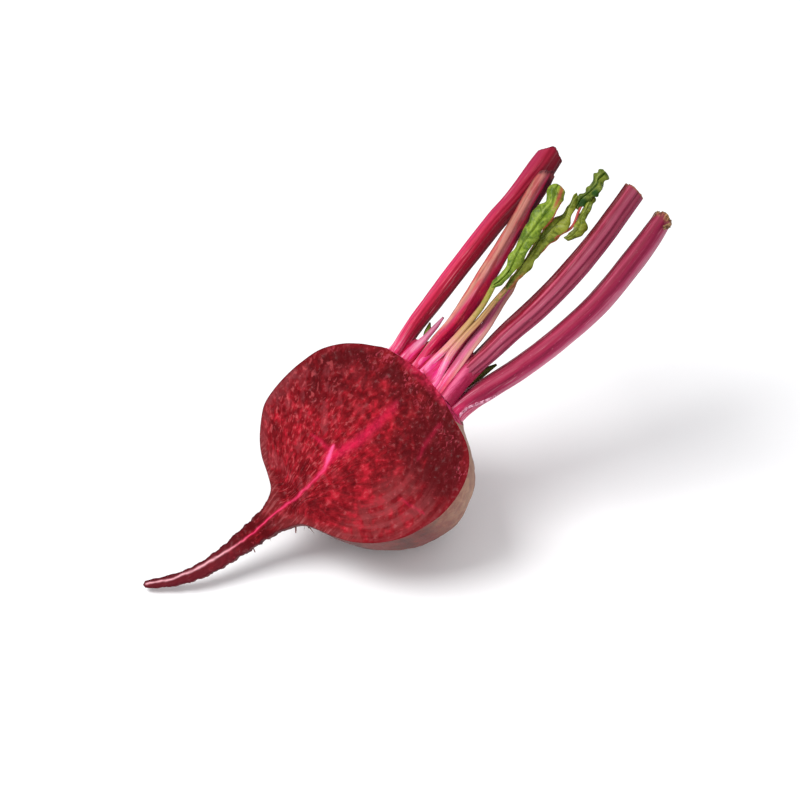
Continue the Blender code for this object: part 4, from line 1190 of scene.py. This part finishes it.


# Stalks and thin stalks


# How a ribbed stalk and a fine one are made: step along it and columns round it; the stretch,
# pitch and depth of its waves; how it swells and sinks at the foot and flares at the cut end;
# how deep that end is cupped; how far and how fully the foot is pink, how deep the painted shade
# at the far end is and how dry its rim; the thickness as a share of the width; the depth of the
# finer ribs between the ribs, as a share of theirs, and how far the seed turns them.
RIBBED = {
    "pitch": 0.75, "columns": 72, "wave": (6.0, 2.4, 0.13), "swell": 0.22, "sink": 1.2,
    "flare": 0.0, "cup": 0.9, "reach": 6.0, "full": 1.0, "far": 1.0, "dry_rim": 0.7,
    "foot": (206, 44, 96), "flat": 1.0, "between": 0.5, "phase": 0.0,
}
FINE = {
    "pitch": 0.5, "columns": 32, "wave": (5.0, 1.6, 0.09), "swell": 0.0, "sink": 1.0,
    "flare": 0.0, "cup": 0.1, "reach": 10.0, "full": 1.0, "far": 1.0, "dry_rim": 0.0,
    "facing": 0.0, "rag": 0.15, "profile": ((-1.0, 0.0), (1.0, 0.0)), "brown": 0.6,
    "end": ((104, 62, 40), (62, 44, 24)), "ribs": 5, "rib": 0.05, "between": 0.0, "phase": 1.0,
    "channel": 0.0,
}
CHANNEL_WIDTH = 0.5
SWELL_REACH = 2.5
GROOVE_SHADE = 0.8
WIDTH_RATIO = 1.08
THICKNESS_RATIO = 0.96
# Rings that close a cut end: share of its size, and share of the cup's depth.
END_RINGS = ((0.86, 0.05), (0.72, 0.5), (0.5, 0.85), (0.25, 1.0), (0.0, 1.0))


def stalk_profile(turn, spec, seed):
    """Share of the half width and half depth at each turn, and how deep in a groove it is."""
    ribs = spec["ribs"]
    rib = np.cos(ribs * turn + spec["phase"] * seed)
    rib = rib + spec["between"] * np.cos((2 * ribs + 1) * turn + 1.0)
    size = 1.0 + spec["rib"] * rib
    channel = np.exp(-(np.cos(turn) / CHANNEL_WIDTH) ** 2) * (np.sin(turn) > 0)
    depth = spec["flat"] * np.sin(turn) * size - spec["channel"] * channel
    return np.cos(turn) * size, depth, np.clip(-rib, 0, 1)


def swept_sheet(rows, facing, p, q):
    """Rings carried along a centreline: the ring's shares of the half width and half depth."""
    ahead = tangents(rows)
    face = np.array([0.0, sin(radians(facing)), cos(radians(facing))])
    depth_way = unit(face - (ahead @ face)[:, None] * ahead)
    width_way = np.cross(ahead, depth_way)
    p, q = rows[:, 3:4] * WIDTH_RATIO * p, rows[:, 3:4] * THICKNESS_RATIO * q
    sheet = rows[:, None, :3] + p[..., None] * width_way[:, None] + q[..., None] * depth_way[:, None]
    return sheet, p, q


def side_share(sheet, rows):
    """How far each point is from the left edge to the right one, seen square to the cut."""
    right = IMAGE_RIGHT - (tangents(rows) @ IMAGE_RIGHT)[:, None] * tangents(rows)
    offset = np.einsum("ijk,ik->ij", sheet - rows[:, None, :3], unit(right))
    low, high = offset.min(axis=1, keepdims=True), offset.max(axis=1, keepdims=True)
    return (offset - low) / (high - low)


def peeled_band(band, x, strip):
    """Widen or narrow the peeled strip along a stalk, and darken the side beyond it near the far end as
    painted shade.
    """
    edge = 0.5 + np.interp(x, *zip(*strip))[:, None]
    band = np.clip(np.where(band < edge, 0.5 * band / edge, 0.5 + 0.5 * (band - edge) / (1 - edge)), 0, 1)
    shade = smoothstep(78.0, 100.0, x)[:, None] * smoothstep(0.5, 0.62, band)
    return np.clip(band + 0.34 * shade, 0, 1)


def close_ends(sheet, paints, spec, seed):
    """Add rows that close the foot and the cut end, which is cupped, ragged and shaped."""
    ahead = unit(sheet[-1].mean(axis=0) - sheet[-2].mean(axis=0))
    rag = spec["rag"] * soft_noise(sheet[-1], 1.1, seed, 3)
    side = (sheet[-1] - sheet[-1].mean(axis=0)) @ IMAGE_RIGHT
    lift = np.interp(side / np.abs(side).max(), *zip(*spec["profile"]))
    reach = min(len(sheet) - 3, 9)
    for k in range(1, reach):
        sheet[-1 - k] += (lift * (1 - k / reach) ** 1.5)[:, None] * ahead
    last = sheet[-1] + (rag + lift)[:, None] * ahead
    last[-1] = last[0]
    centre = last.mean(axis=0)
    rings = [last]
    for share, sink in END_RINGS:
        fibres = 0.25 * soft_noise(sheet[-1] * (1 + share), 0.8, seed + 5.0)
        drop = spec["cup"] * sink - share * fibres
        rings.append(centre + share * (last - centre) - drop[:, None] * ahead)
        rings[-1][-1] = rings[-1][0]
    rings[-1] = np.broadcast_to(rings[-1].mean(axis=0), rings[-1].shape)
    foot = np.broadcast_to(sheet[0].mean(axis=0), sheet[0].shape)[None]
    repeats = np.ones(len(sheet), int)
    repeats[[0, -1]] = 2, len(rings)
    paints = {key: np.repeat(values, repeats, axis=0) for key, values in paints.items()}
    return np.concatenate([foot, sheet[:-1], np.array(rings)]), paints


def stalk_paints(sheet, spec, length, p, q):
    """Grain, painted shade towards the far end, pink foot and dried end of a stalk."""
    along = np.broadcast_to(length[:, None], p.shape)
    ragged = soft_noise(sheet, 1.3, 6.0)
    foot = np.exp(-(along / spec["reach"]) ** 2) * (0.8 + 0.4 * ragged)
    brown = spec["brown"]
    left = length[-1] - along + 0.5 * brown * ragged
    return {
        "grain": np.stack([p, q, along], axis=-1),
        # painted shade, deepening towards the far end
        "far": spec["far"] * smoothstep(0.35, 1.0, along / length[-1]),
        "foot": np.clip(spec["full"] * foot, 0, 1),
        "dried": smoothstep(brown, 0.2 * brown, left),
    }


def build_stalk(name, spec, seed):
    """A wavy stalk along its line, sunk into the crown, painted and closed at both ends."""
    rows, length = even_rows(spec["line"], spec["pitch"])
    rows[:, 3] *= 1.0 + spec["swell"] * np.exp(-(length / SWELL_REACH))
    p, q, groove = stalk_profile(np.linspace(0, 2 * pi, spec["columns"] + 1), spec, seed)
    sheet, p, q = swept_sheet(rows, spec["facing"], p, q)
    groove = GROOVE_SHADE * np.broadcast_to(groove, p.shape)
    stretch, pitch, depth = spec["wave"]
    wander = soft_noise(sheet / np.array((stretch, 1.0, 1.0)), pitch, seed)
    wander = wander + spec["flare"] * smoothstep(3.0, 0.0, length[-1] - length)[:, None]
    sheet = sheet + (depth * wander)[..., None] * unit(sheet - rows[:, None, :3])
    band = side_share(sheet, rows)
    if "strip" in spec:
        band = peeled_band(band, rows[:, 0], spec["strip"])
    sheet[..., 0] -= spec["sink"] * np.exp(-(length / spec["sink"]))[:, None]
    paints = stalk_paints(sheet, spec, length, p, q)
    sheet, paints = close_ends(sheet, {**paints, "band": band, "groove": groove}, spec, seed)
    paints["dried"][-len(END_RINGS):] = paints["dried"][-len(END_RINGS):].clip(spec["dry_rim"])
    return bent_grid(name, sheet, paints, 60.0)


# The fan of joined stalk feet at the crown


# Lines up the fan from the crown's rim, left to right: how pale, then along, across, out. The
# npaleness is partly the ridges' own colour and partly painted shade, darker on the lines that lie
# further back.
FAN_LINES = (
    (0.10, (30.9, 17.7, -3.0), (33.7, 18.3, -3.6), (36.2, 19.0, -4.0), (38.7, 19.8, -4.4)),
    (0.30, (31.7, 14.6, -1.8), (35.0, 14.8, -1.6), (38.5, 14.4, -1.8), (41.4, 13.8, -2.0)),
    (0.34, (32.3, 12.0, -0.9), (36.1, 12.2, -0.6), (39.6, 12.2, -0.7), (42.3, 12.6, -1.0)),
    (0.05, (33.3, 10.3, -2.0), (35.8, 11.0, -2.2), (38.8, 11.6, -2.4), (42.3, 12.4, -2.8)),
    (0.85, (33.6, 8.3, -0.6), (35.5, 8.7, -0.6), (38.5, 9.3, -1.2), (43.5, 10.0, -2.8)),
    (0.10, (33.9, 6.8, -1.6), (36.1, 7.1, -1.6), (38.6, 7.0, -1.8), (43.0, 7.0, -2.8)),
    (1.00, (34.1, 5.1, -0.3), (36.4, 5.3, 0.0), (40.0, 5.0, 0.1), (47.0, 5.2, 0.0)),
    (0.32, (33.4, 2.1, -1.0), (37.5, 2.7, -0.9), (42.0, 3.5, -0.8), (50.0, 4.4, -0.6)),
    (0.90, (33.0, -1.4, -0.3), (37.5, -0.4, 0.0), (42.7, 0.9, 0.1), (50.0, 2.7, -0.2)),
    (0.05, (33.0, -2.4, -1.8), (38.5, -1.3, -1.9), (46.0, 0.6, -2.0), (60.0, 4.0, -2.2)),
    (0.90, (32.9, -4.2, -0.4), (38.5, -3.0, -0.3), (44.5, -2.3, -0.9), (50.8, -1.7, -2.8)),
    (0.24, (33.0, -5.9, -1.3), (39.0, -4.7, -1.2), (45.5, -4.0, -1.4), (52.0, -3.2, -2.8)),
    (0.72, (33.0, -7.5, -0.4), (39.0, -6.5, -0.5), (45.5, -5.6, -1.0), (53.0, -4.6, -2.4)),
    (0.20, (32.8, -9.3, -1.5), (38.5, -8.4, -1.5), (45.0, -7.4, -1.9), (53.5, -6.2, -2.9)),
    (0.02, (32.5, -10.4, -3.4), (37.5, -10.0, -3.6), (43.0, -9.2, -4.0), (50.0, -8.6, -4.8)),
)
FAN_COLUMNS = 8
FAN_ROWS = 42
FAN_THICKNESS = 1.3
FAN_SINK = 0.85


def build_fan():
    """Ridged pink tissue that joins the stalks' feet along the crown's cut rim."""
    lines = np.array([[(*point, pale) for point in line] for pale, *line in FAN_LINES])
    lofts = np.array([smooth_rows(line, FAN_ROWS // 3) for line in lines])
    share = np.linspace(0, 1, lofts.shape[1])
    grid = np.array([smooth_rows(lofts[:, k], FAN_COLUMNS) for k in range(len(share))])
    points, pale = grid[..., :3].copy(), grid[..., 3]
    rise = np.broadcast_to(share[:, None], pale.shape)
    fibre = soft_noise(points / np.array((6.0, 0.7, 1.0)), 1.0, 2.0, 3)
    points[..., 2] += 0.16 * fibre - 1.3 * rise ** 5
    points[..., 0] -= FAN_SINK * (1 - rise) ** 6 - 0.25 * soft_noise(points, 1.2, 6.0) * (1 - rise) ** 4
    points[..., 0] += 0.7 * soft_noise(points, 1.1, 12.0) * rise ** 6
    back = points.copy()
    back[..., 2] -= FAN_THICKNESS * (1 - 0.7 * rise)
    right = np.broadcast_to(smoothstep(0.66, 0.84, np.linspace(0, 1, pale.shape[1])), pale.shape)
    return thick_sheet("crown_fan", points.swapaxes(0, 1), back.swapaxes(0, 1),
                       {"ridge": pale.T, "rise": rise.T, "right": right.T})


# Leaves


# How each blade is made: its phase, where and how deep it is folded, its bulge, the depth and
# length of its ruffles, and its twist.
BLADES = {
    "leaf_1": {"seed": 0.4, "crease": 0.12, "bulge": 0.42, "fold": 0.75, "ruffle": 0.55,
               "wave": 9.0, "twist": 0.25},
    "leaf_2_main": {"seed": 1.7, "crease": -0.35, "bulge": 0.34, "fold": 0.5, "ruffle": 0.45,
                    "wave": 8.0, "twist": 0.2},
    "leaf_2_right": {"seed": 2.9, "crease": 0.1, "bulge": 0.4, "fold": 0.4, "ruffle": 0.5,
                     "wave": 6.0, "twist": 0.3},
    "leaf_2_tip": {"seed": 4.2, "crease": 0.0, "bulge": 0.5, "fold": 0.9, "ruffle": 0.9,
                   "wave": 4.6, "twist": 0.5},
}
SIDE_VEIN_PITCH = 4.6
TWIST_PITCH = 17.0


def blade_sheet(edges, spec):
    """A folded, rippled young blade between its two edges, with its veins and the painted shade of its
    folds and ripples.
    """
    fine = smooth_rows(edges, 12)
    middle = np.column_stack([(fine[:, :2] + fine[:, 2:4]) / 2, fine[:, 4]])
    length = run_lengths(middle)
    targets = np.linspace(0, length[-1], round(length[-1] / BLADE_PITCH) + 1)
    fine = np.stack([np.interp(targets, length, column) for column in fine.T], axis=1)
    s = targets[:, None]
    t = np.linspace(-1, 1, BLADE_COLUMNS + 1)[None, :]
    left, right = fine[:, None, [0, 1, 4]], fine[:, None, [2, 3, 4]]
    half = 0.5 * np.linalg.norm(left - right, axis=-1)
    points = left + (0.5 + 0.5 * t)[..., None] * (right - left)
    seed, ruffle = spec["seed"], spec["ruffle"]
    phase = seed + 0.35 * np.sin(s / 5.3 + seed)
    beside = t - spec["crease"] - 0.18 * np.sin(s / 4.1 + seed)
    fold = np.exp(-(beside / 0.16) ** 2)
    lip = smoothstep(-0.05, 0.05, beside) * np.exp(-np.clip(beside, 0, 2) / 0.4)
    lift = spec["bulge"] * np.sqrt(1.02 - t ** 2) * half + spec["fold"] * (0.5 * lip - fold)
    wave = np.sin(2 * pi * s / spec["wave"] + phase + 1.7 * np.sign(t))
    lift += ruffle * np.abs(t) ** 3 * wave * np.minimum(1.0, half)
    lift += spec["twist"] * t * np.sin(2 * pi * s / TWIST_PITCH + seed) * half
    row = np.sin(pi * ((s - 0.7 * half * np.abs(t)) / SIDE_VEIN_PITCH + 0.5 * (t > 0) + 0.1 * seed))
    vein = np.exp(-(row / 0.22) ** 2) * smoothstep(1.0, 0.6, np.abs(t))
    points[..., 2] += lift - 0.10 * vein + 0.16 * np.abs(row) * (1 - t ** 2)
    points[..., 1] += 0.28 * ruffle * t ** 3 * np.cos(2 * pi * s / (0.6 * spec["wave"]) + phase)
    points = points + 0.12 * np.stack([soft_noise(points, 2.0, seed + k) for k in range(3)], -1)
    midrib = np.exp(-((t + 0.1) * half / 0.3) ** 2)
    return points, fine[:, 0:1], t, {
        "veins": np.clip(0.7 * vein + 0.8 * midrib, 0, 1),
        # painted shade in the fold and in the troughs of the ruffles
        "hollow": np.clip(fold - 0.5 * lip + 0.4 * np.clip(-wave, 0, 1) * t ** 2, 0, 1),
        "red": np.zeros_like(lift),
        "tip": np.zeros_like(lift),
    }


def build_blade(name, edges, thickness, spec, tint=None):
    """A thin closed blade, its rim tapered to half its thickness."""
    points, x, t, paints = blade_sheet(edges, spec)
    if tint:
        tint(x, t, paints)
    half_way = np.stack([0 * t, 0 * t, 0.5 * thickness / MM * (1.0 - 0.5 * np.abs(t) ** 3)], axis=-1)
    return thick_sheet(name, points + half_way, points - half_way, paints)


def stripe(t, centre, width):
    """Closeness to a line along the blade: 1 on it, fading to 0 beyond its width."""
    return np.exp(-((t - centre) / width) ** 2)


def tint_leaf_1(x, t, paints):
    """Brown folded strip at the top right, red margin below it."""
    brown = 0.8 * fade(x, (104.0, 107.0)) * stripe(t, 0.62, 0.2)
    margin = 0.9 * fade(x, (96.0, 100.0), (109.0, 107.0)) * smoothstep(0.9, 0.98, t)
    paints["red"] = np.maximum(brown, margin)


def tint_leaf_2(x, t, paints):
    """Pink rib along the left margin, pink foot and right margin."""
    rib = 0.8 * fade(x, (107.0, 103.0)) * stripe(t, -0.86, 0.13)
    low = 0.6 * fade(x, (83.0, 79.0)) * stripe(t, 0.75, 0.3)
    margin = 0.8 * fade(x, (90.0, 95.0), (106.0, 103.0)) * smoothstep(0.9, 0.98, t)
    paints["red"] = np.maximum(np.maximum(rib, low), margin)


def tint_tip(x, t, paints):
    """Darker green over the tip, with painted shade in its curls and folds."""
    curls = np.maximum(stripe(x, 114.5, 1.6) * smoothstep(-0.4, 0.3, t),
                       stripe(x, 120.2, 1.3) * smoothstep(0.1, 0.6, t))
    paints["tip"] = np.clip(curls + 0.4 + 0.5 * paints["hollow"], 0, 1)


# Torn skin along the lowest stalk, and the dried scraps at its cut end, as blades.
TORN_SKIN = (
    (32.0, -13.4, 31.0, -14.8, -7.0), (35.6, -13.6, 34.8, -14.6, -7.2),
    (38.5, -14.7, 37.8, -15.6, -7.4), (41.1, -16.1, 40.5, -16.9, -7.6),
    (44.2, -17.6, 43.9, -18.2, -7.6), (46.7, -18.4, 46.5, -18.8, -7.6),
)
SCRAPS = {
    "scrap_large": (
        (127.9, -13.9, 128.3, -15.3, -4.7), (129.7, -13.4, 129.7, -15.9, -4.4),
        (131.2, -14.1, 130.8, -16.8, -4.3), (132.4, -15.6, 131.3, -18.0, -4.4),
        (132.6, -17.0, 131.3, -18.9, -4.8),
    ),
    "scrap_small": (
        (128.4, -18.6, 127.6, -19.8, -4.4), (129.6, -18.9, 128.5, -20.5, -4.2),
        (130.7, -19.5, 129.9, -20.8, -4.4),
    ),
}
SCRAP = {"crease": 0.2, "bulge": 0.3, "fold": 0.2, "ruffle": 0.25, "wave": 2.3, "twist": 0.2}
TORN_SEED = 1.3
SCRAP_SEED = 3.1
# Turn of a thin tube's rings round their line, in degrees.
TUBE_FACING = 20.0


def thin_tube(name, rows, columns, **paints):
    """A closed round tube through the rows, with even paints."""
    turn = np.linspace(0, 2 * pi, columns + 1)
    sheet = swept_sheet(rows, TUBE_FACING, np.cos(turn), np.sin(turn))[0]
    even = {key: np.full(sheet.shape[:2], value) for key, value in paints.items()}
    return closed_grid(name, sheet, even, 80.0)


# Root hairs and side rootlets


# Hairs: along, turn round the skin in degrees, length, lean along, bend, share of the radius.
HAIRS = (
    (-34.3, 199.0, 3.9, -0.15, 0.3, 3.4), (-31.6, 196.0, 1.6, -0.8, 1.6, 1.0),
    (-34.6, 200.0, 2.6, -1.2, 1.8, 1.0), (-35.9, 202.0, 2.2, 0.9, -1.2, 1.0),
    (-37.2, 204.0, 2.8, -0.6, 2.0, 1.0), (-45.5, 205.0, 1.8, -0.9, 1.4, 1.0),
    (-47.0, 230.0, 2.4, 0.4, 1.0, 1.0), (-52.0, 260.0, 2.2, -0.7, 1.2, 1.0),
    (-57.5, 215.0, 1.6, 0.6, -1.0, 1.0), (-40.0, 285.0, 3.4, 0.5, 1.4, 1.2),
    (-35.0, 310.0, 3.0, -0.5, 1.6, 1.2), (-62.0, 300.0, 1.8, 0.4, 1.2, 1.0),
    (-33.5, 250.0, 3.6, 0.3, 1.0, 1.4), (-43.0, 330.0, 2.4, -0.4, 1.0, 1.0),
)
# Side rootlets: along, turn round the skin in degrees, length, radius at the skin.
ROOTLETS = (
    (-37.0, 192.0, 2.6, 0.42), (-41.0, 250.0, 3.2, 0.48), (-34.0, 240.0, 4.0, 0.6),
    (-45.0, 285.0, 3.0, 0.46), (-38.0, 320.0, 3.8, 0.52), (-53.0, 235.0, 2.6, 0.4),
    (-61.0, 300.0, 2.3, 0.36),
)
HAIR_SINK = 1.0
ROOTLET_LEAN = -0.5


def skin_paths(starts):
    """Short curved paths that leave the skin, each with its share of the way at every point.

    A start is a place along the root, a turn round it, a length, a lean along and a bend.
    """
    rows = root_rows()
    across, out = station_frames(rows)
    share = np.linspace(0, 1, 12)
    for along, turn, length, lean, bend in starts:
        index = int(np.argmin(np.abs(rows[:, 0] - along)))
        way = cos(radians(turn)) * across[index] + sin(radians(turn)) * out[index]
        ahead = unit(way + np.array([lean, 0.0, 0.0]))
        side = unit(np.cross(ahead, [0.2, 0.3, 1.0]))
        start = rows[index, :3] + 0.97 * rows[index, 3] * way - HAIR_SINK * ahead
        path = start + np.outer(share * (length + HAIR_SINK), ahead)
        yield path + np.outer(0.6 * bend * share ** 2, side), share


def thin_roots(name, starts, columns, taper):
    """Thin roots of one kind, the taper being the radius of each along its way."""
    return join_pieces(name, [
        thin_tube(f"{name}_{number}", np.column_stack([path, taper(number, share)]), columns)
        for number, (path, share) in enumerate(skin_paths(starts))])


def build_hairs(radius):
    """Fine hairs on the neck and the taproot."""
    def taper(number, share):
        return radius / MM * HAIRS[number][-1] * (1.05 - share)

    starts = [(along, turn, length, 0.5 * lean, bend) for along, turn, length, lean, bend, _ in HAIRS]
    return thin_roots("root_hairs", starts, 8, taper)


def build_rootlets():
    """Broken side rootlets under the neck and the taproot."""
    def taper(number, share):
        return ROOTLETS[number][-1] * (1.0 - 0.62 * share) * (1.0 + 0.12 * np.sin(9.0 * share + number))

    starts = [(along, turn, length, ROOTLET_LEAN, 1.2 * cos(2.0 * number))
              for number, (along, turn, length, _) in enumerate(ROOTLETS)]
    return thin_roots("side_rootlets", starts, 14, taper)


# Operators


class BeetOperator(Operator):
    """Base of the operators that build one piece or a group of like pieces."""
    bl_options = {"REGISTER", "UNDO"}


class BEET_OT_root(BeetOperator):
    """Build the cut root with its flesh, skin and crown"""
    bl_idname = "beet.root"
    bl_label = "Root"

    def execute(self, context):
        colours = context.scene.beet_colours
        dress(build_root(context.scene.beet_sizes), ["root"], "beet_root",
              flesh_material(colours), skin_material(colours), crown_material(colours))
        return {"FINISHED"}


class BEET_OT_scars(BeetOperator):
    """Build the dry leaf bases behind the crown"""
    bl_idname = "beet.scars"
    bl_label = "Leaf scars"

    def execute(self, context):
        dress(build_scars(), [], "beet_root",
              scrap_material("leaf_scars", (146, 100, 84), (78, 46, 42)))
        return {"FINISHED"}


class BEET_OT_hairs(BeetOperator):
    """Build the fine root hairs and the side rootlets"""
    bl_idname = "beet.hairs"
    bl_label = "Root hairs"

    def execute(self, context):
        dress(build_hairs(context.scene.beet_sizes.hair_radius), [], "beet_root",
              hair_material((150, 128, 120), (92, 74, 72)))
        dress(build_rootlets(), [], "beet_root",
              scrap_material("rootlet_skin", (132, 82, 80), (84, 46, 48)))
        return {"FINISHED"}


class BEET_OT_stalks(BeetOperator):
    """Build the four ribbed, cut leaf stalks"""
    bl_idname = "beet.stalks"
    bl_label = "Stalks"

    def execute(self, context):
        for number, (name, spec) in enumerate(STALKS.items()):
            spec = {**RIBBED, **spec}
            piece = build_stalk(name + "_ribbed", spec, 2.0 + 3.0 * number)
            dress(piece, [name], name, stalk_material(name, spec))
        return {"FINISHED"}


class BEET_OT_thin_stalks(BeetOperator):
    """Build the young leaves' stalks, the withered stalk, the torn stub and the shoots"""
    bl_idname = "beet.thin_stalks"
    bl_label = "Thin stalks"

    def execute(self, context):
        for number, (name, spec) in enumerate(THIN_STALKS.items()):
            spec = {**FINE, **spec}
            piece = build_stalk(name + "_fine", spec, 1.0 + 2.0 * number)
            dress(piece, [name], name, stalk_material(name, spec))
        return {"FINISHED"}


class BEET_OT_fan(BeetOperator):
    """Build the ridged tissue that joins the stalks' feet"""
    bl_idname = "beet.fan"
    bl_label = "Crown fan"

    def execute(self, context):
        dress(build_fan(), [], "stalk_stub", fan_material())
        return {"FINISHED"}


class BEET_OT_scraps(BeetOperator):
    """Build the torn skin under the lowest stalk and the dried scraps at its end"""
    bl_idname = "beet.scraps"
    bl_label = "Dried scraps"

    def execute(self, context):
        thickness = 0.5 * context.scene.beet_sizes.blade_thickness
        torn = build_blade("torn_skin", TORN_SKIN, thickness, {**SCRAP, "seed": TORN_SEED})
        dress(torn, [], "stalk_d", scrap_material("torn_skin", (222, 168, 190), (156, 74, 100)))
        scraps = [build_blade(name, rows, thickness, {**SCRAP, "seed": SCRAP_SEED})
                  for name, rows in SCRAPS.items()]
        dress(join_pieces("dried_scraps", scraps), [], "stalk_d",
              scrap_material("dried_scraps", (156, 120, 84), (74, 46, 28)))
        return {"FINISHED"}


class BEET_OT_leaves(BeetOperator):
    """Build the two young leaves"""
    bl_idname = "beet.leaves"
    bl_label = "Leaves"

    def execute(self, context):
        colours = context.scene.beet_colours
        thickness = context.scene.beet_sizes.blade_thickness
        leaf = build_blade("leaf_1_blade", LEAF_1, thickness, BLADES["leaf_1"], tint_leaf_1)
        dress(leaf, ["leaf_1"], "leaf_1",
              leaf_material("leaf_1_green", colours.leaf_light, colours.leaf_dark, colours.leaf_vein))
        parts = [build_blade(name, edges, thickness, BLADES[name], tint) for name, edges, tint in (
            ("leaf_2_main", LEAF_2_MAIN, tint_leaf_2), ("leaf_2_right", LEAF_2_RIGHT, None),
            ("leaf_2_tip", LEAF_2_TIP, tint_tip))]
        parts.append(thin_tube("leaf_2_vein", even_rows(LEAF_2_VEIN, 0.4)[0], 12, red=0.95))
        dress(join_pieces("leaf_2_blade", parts), ["leaf_2"], "leaf_2",
              leaf_material("leaf_2_green", *map(linear, LEAF_2_GREENS), colours.leaf_vein))
        return {"FINISHED"}


class BEET_OT_stage(BeetOperator):
    """Lay the pale floor, set the soft lights and place the camera"""
    bl_idname = "beet.stage"
    bl_label = "Stage"

    def execute(self, context):
        rest_all()
        size = context.scene.beet_sizes.floor_size
        bpy.ops.mesh.primitive_plane_add(size=size, location=(0.0, 0.0, 0.0))
        floor = bpy.context.object
        floor.name = "studio_floor"
        floor.data.materials.append(floor_material(context.scene.beet_colours))
        floor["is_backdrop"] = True
        world = bpy.data.worlds.new("studio")
        world.use_nodes = True
        backdrop = world.node_tree.nodes["Background"]
        backdrop.inputs["Color"].default_value = (*BACKDROP_COLOUR, 1.0)
        backdrop.inputs["Strength"].default_value = BACKDROP_STRENGTH
        context.scene.world = world
        for name, (place, power, width) in LAMPS.items():
            bpy.ops.object.light_add(type="AREA", location=place)
            lamp = bpy.context.object
            lamp.name = name
            lamp.data.energy = power
            lamp.data.size = width
            aim = Vector(LAMP_AIM) - Vector(place)
            lamp.rotation_euler = aim.to_track_quat("-Z", "Y").to_euler()
        bpy.ops.object.camera_add(location=CAMERA_PLACE, rotation=(radians(CAMERA_TILT), 0.0, 0.0))
        camera = bpy.context.object
        camera.data.lens = CAMERA_LENS
        context.scene.camera = camera
        context.scene.view_settings.view_transform = "Standard"
        return {"FINISHED"}


OPERATORS = (
    BEET_OT_root, BEET_OT_scars, BEET_OT_hairs, BEET_OT_stalks, BEET_OT_thin_stalks, BEET_OT_fan,
    BEET_OT_scraps, BEET_OT_leaves, BEET_OT_stage,
)


class BEET_PT_panel(Panel):
    """Lists the sizes, the colours and the pieces"""
    bl_idname = "BEET_PT_panel"
    bl_label = "Beetroot"
    bl_space_type = "VIEW_3D"
    bl_region_type = "UI"
    bl_category = "Beetroot"

    def draw(self, context):
        for group in (context.scene.beet_sizes, context.scene.beet_colours):
            box = self.layout.box()
            for name in group.__annotations__:
                box.prop(group, name)
        for operator in OPERATORS:
            self.layout.operator(operator.bl_idname)


CLASSES = (BeetSizes, BeetColours, *OPERATORS, BEET_PT_panel)


def register():
    for kind in CLASSES:
        bpy.utils.register_class(kind)
    bpy.types.Scene.beet_sizes = PointerProperty(type=BeetSizes)
    bpy.types.Scene.beet_colours = PointerProperty(type=BeetColours)


def unregister():
    del bpy.types.Scene.beet_sizes
    del bpy.types.Scene.beet_colours
    for kind in reversed(CLASSES):
        bpy.utils.unregister_class(kind)


def main():
    register()
    for operator in OPERATORS:
        group, name = operator.bl_idname.split(".")
        getattr(getattr(bpy.ops, group), name)()
    boxes = {"cad": CAD_BOX, "visual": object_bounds()}
    {key: [list(corner) for corner in box] for key, box in boxes.items()}


if __name__ == "__main__":
    main()
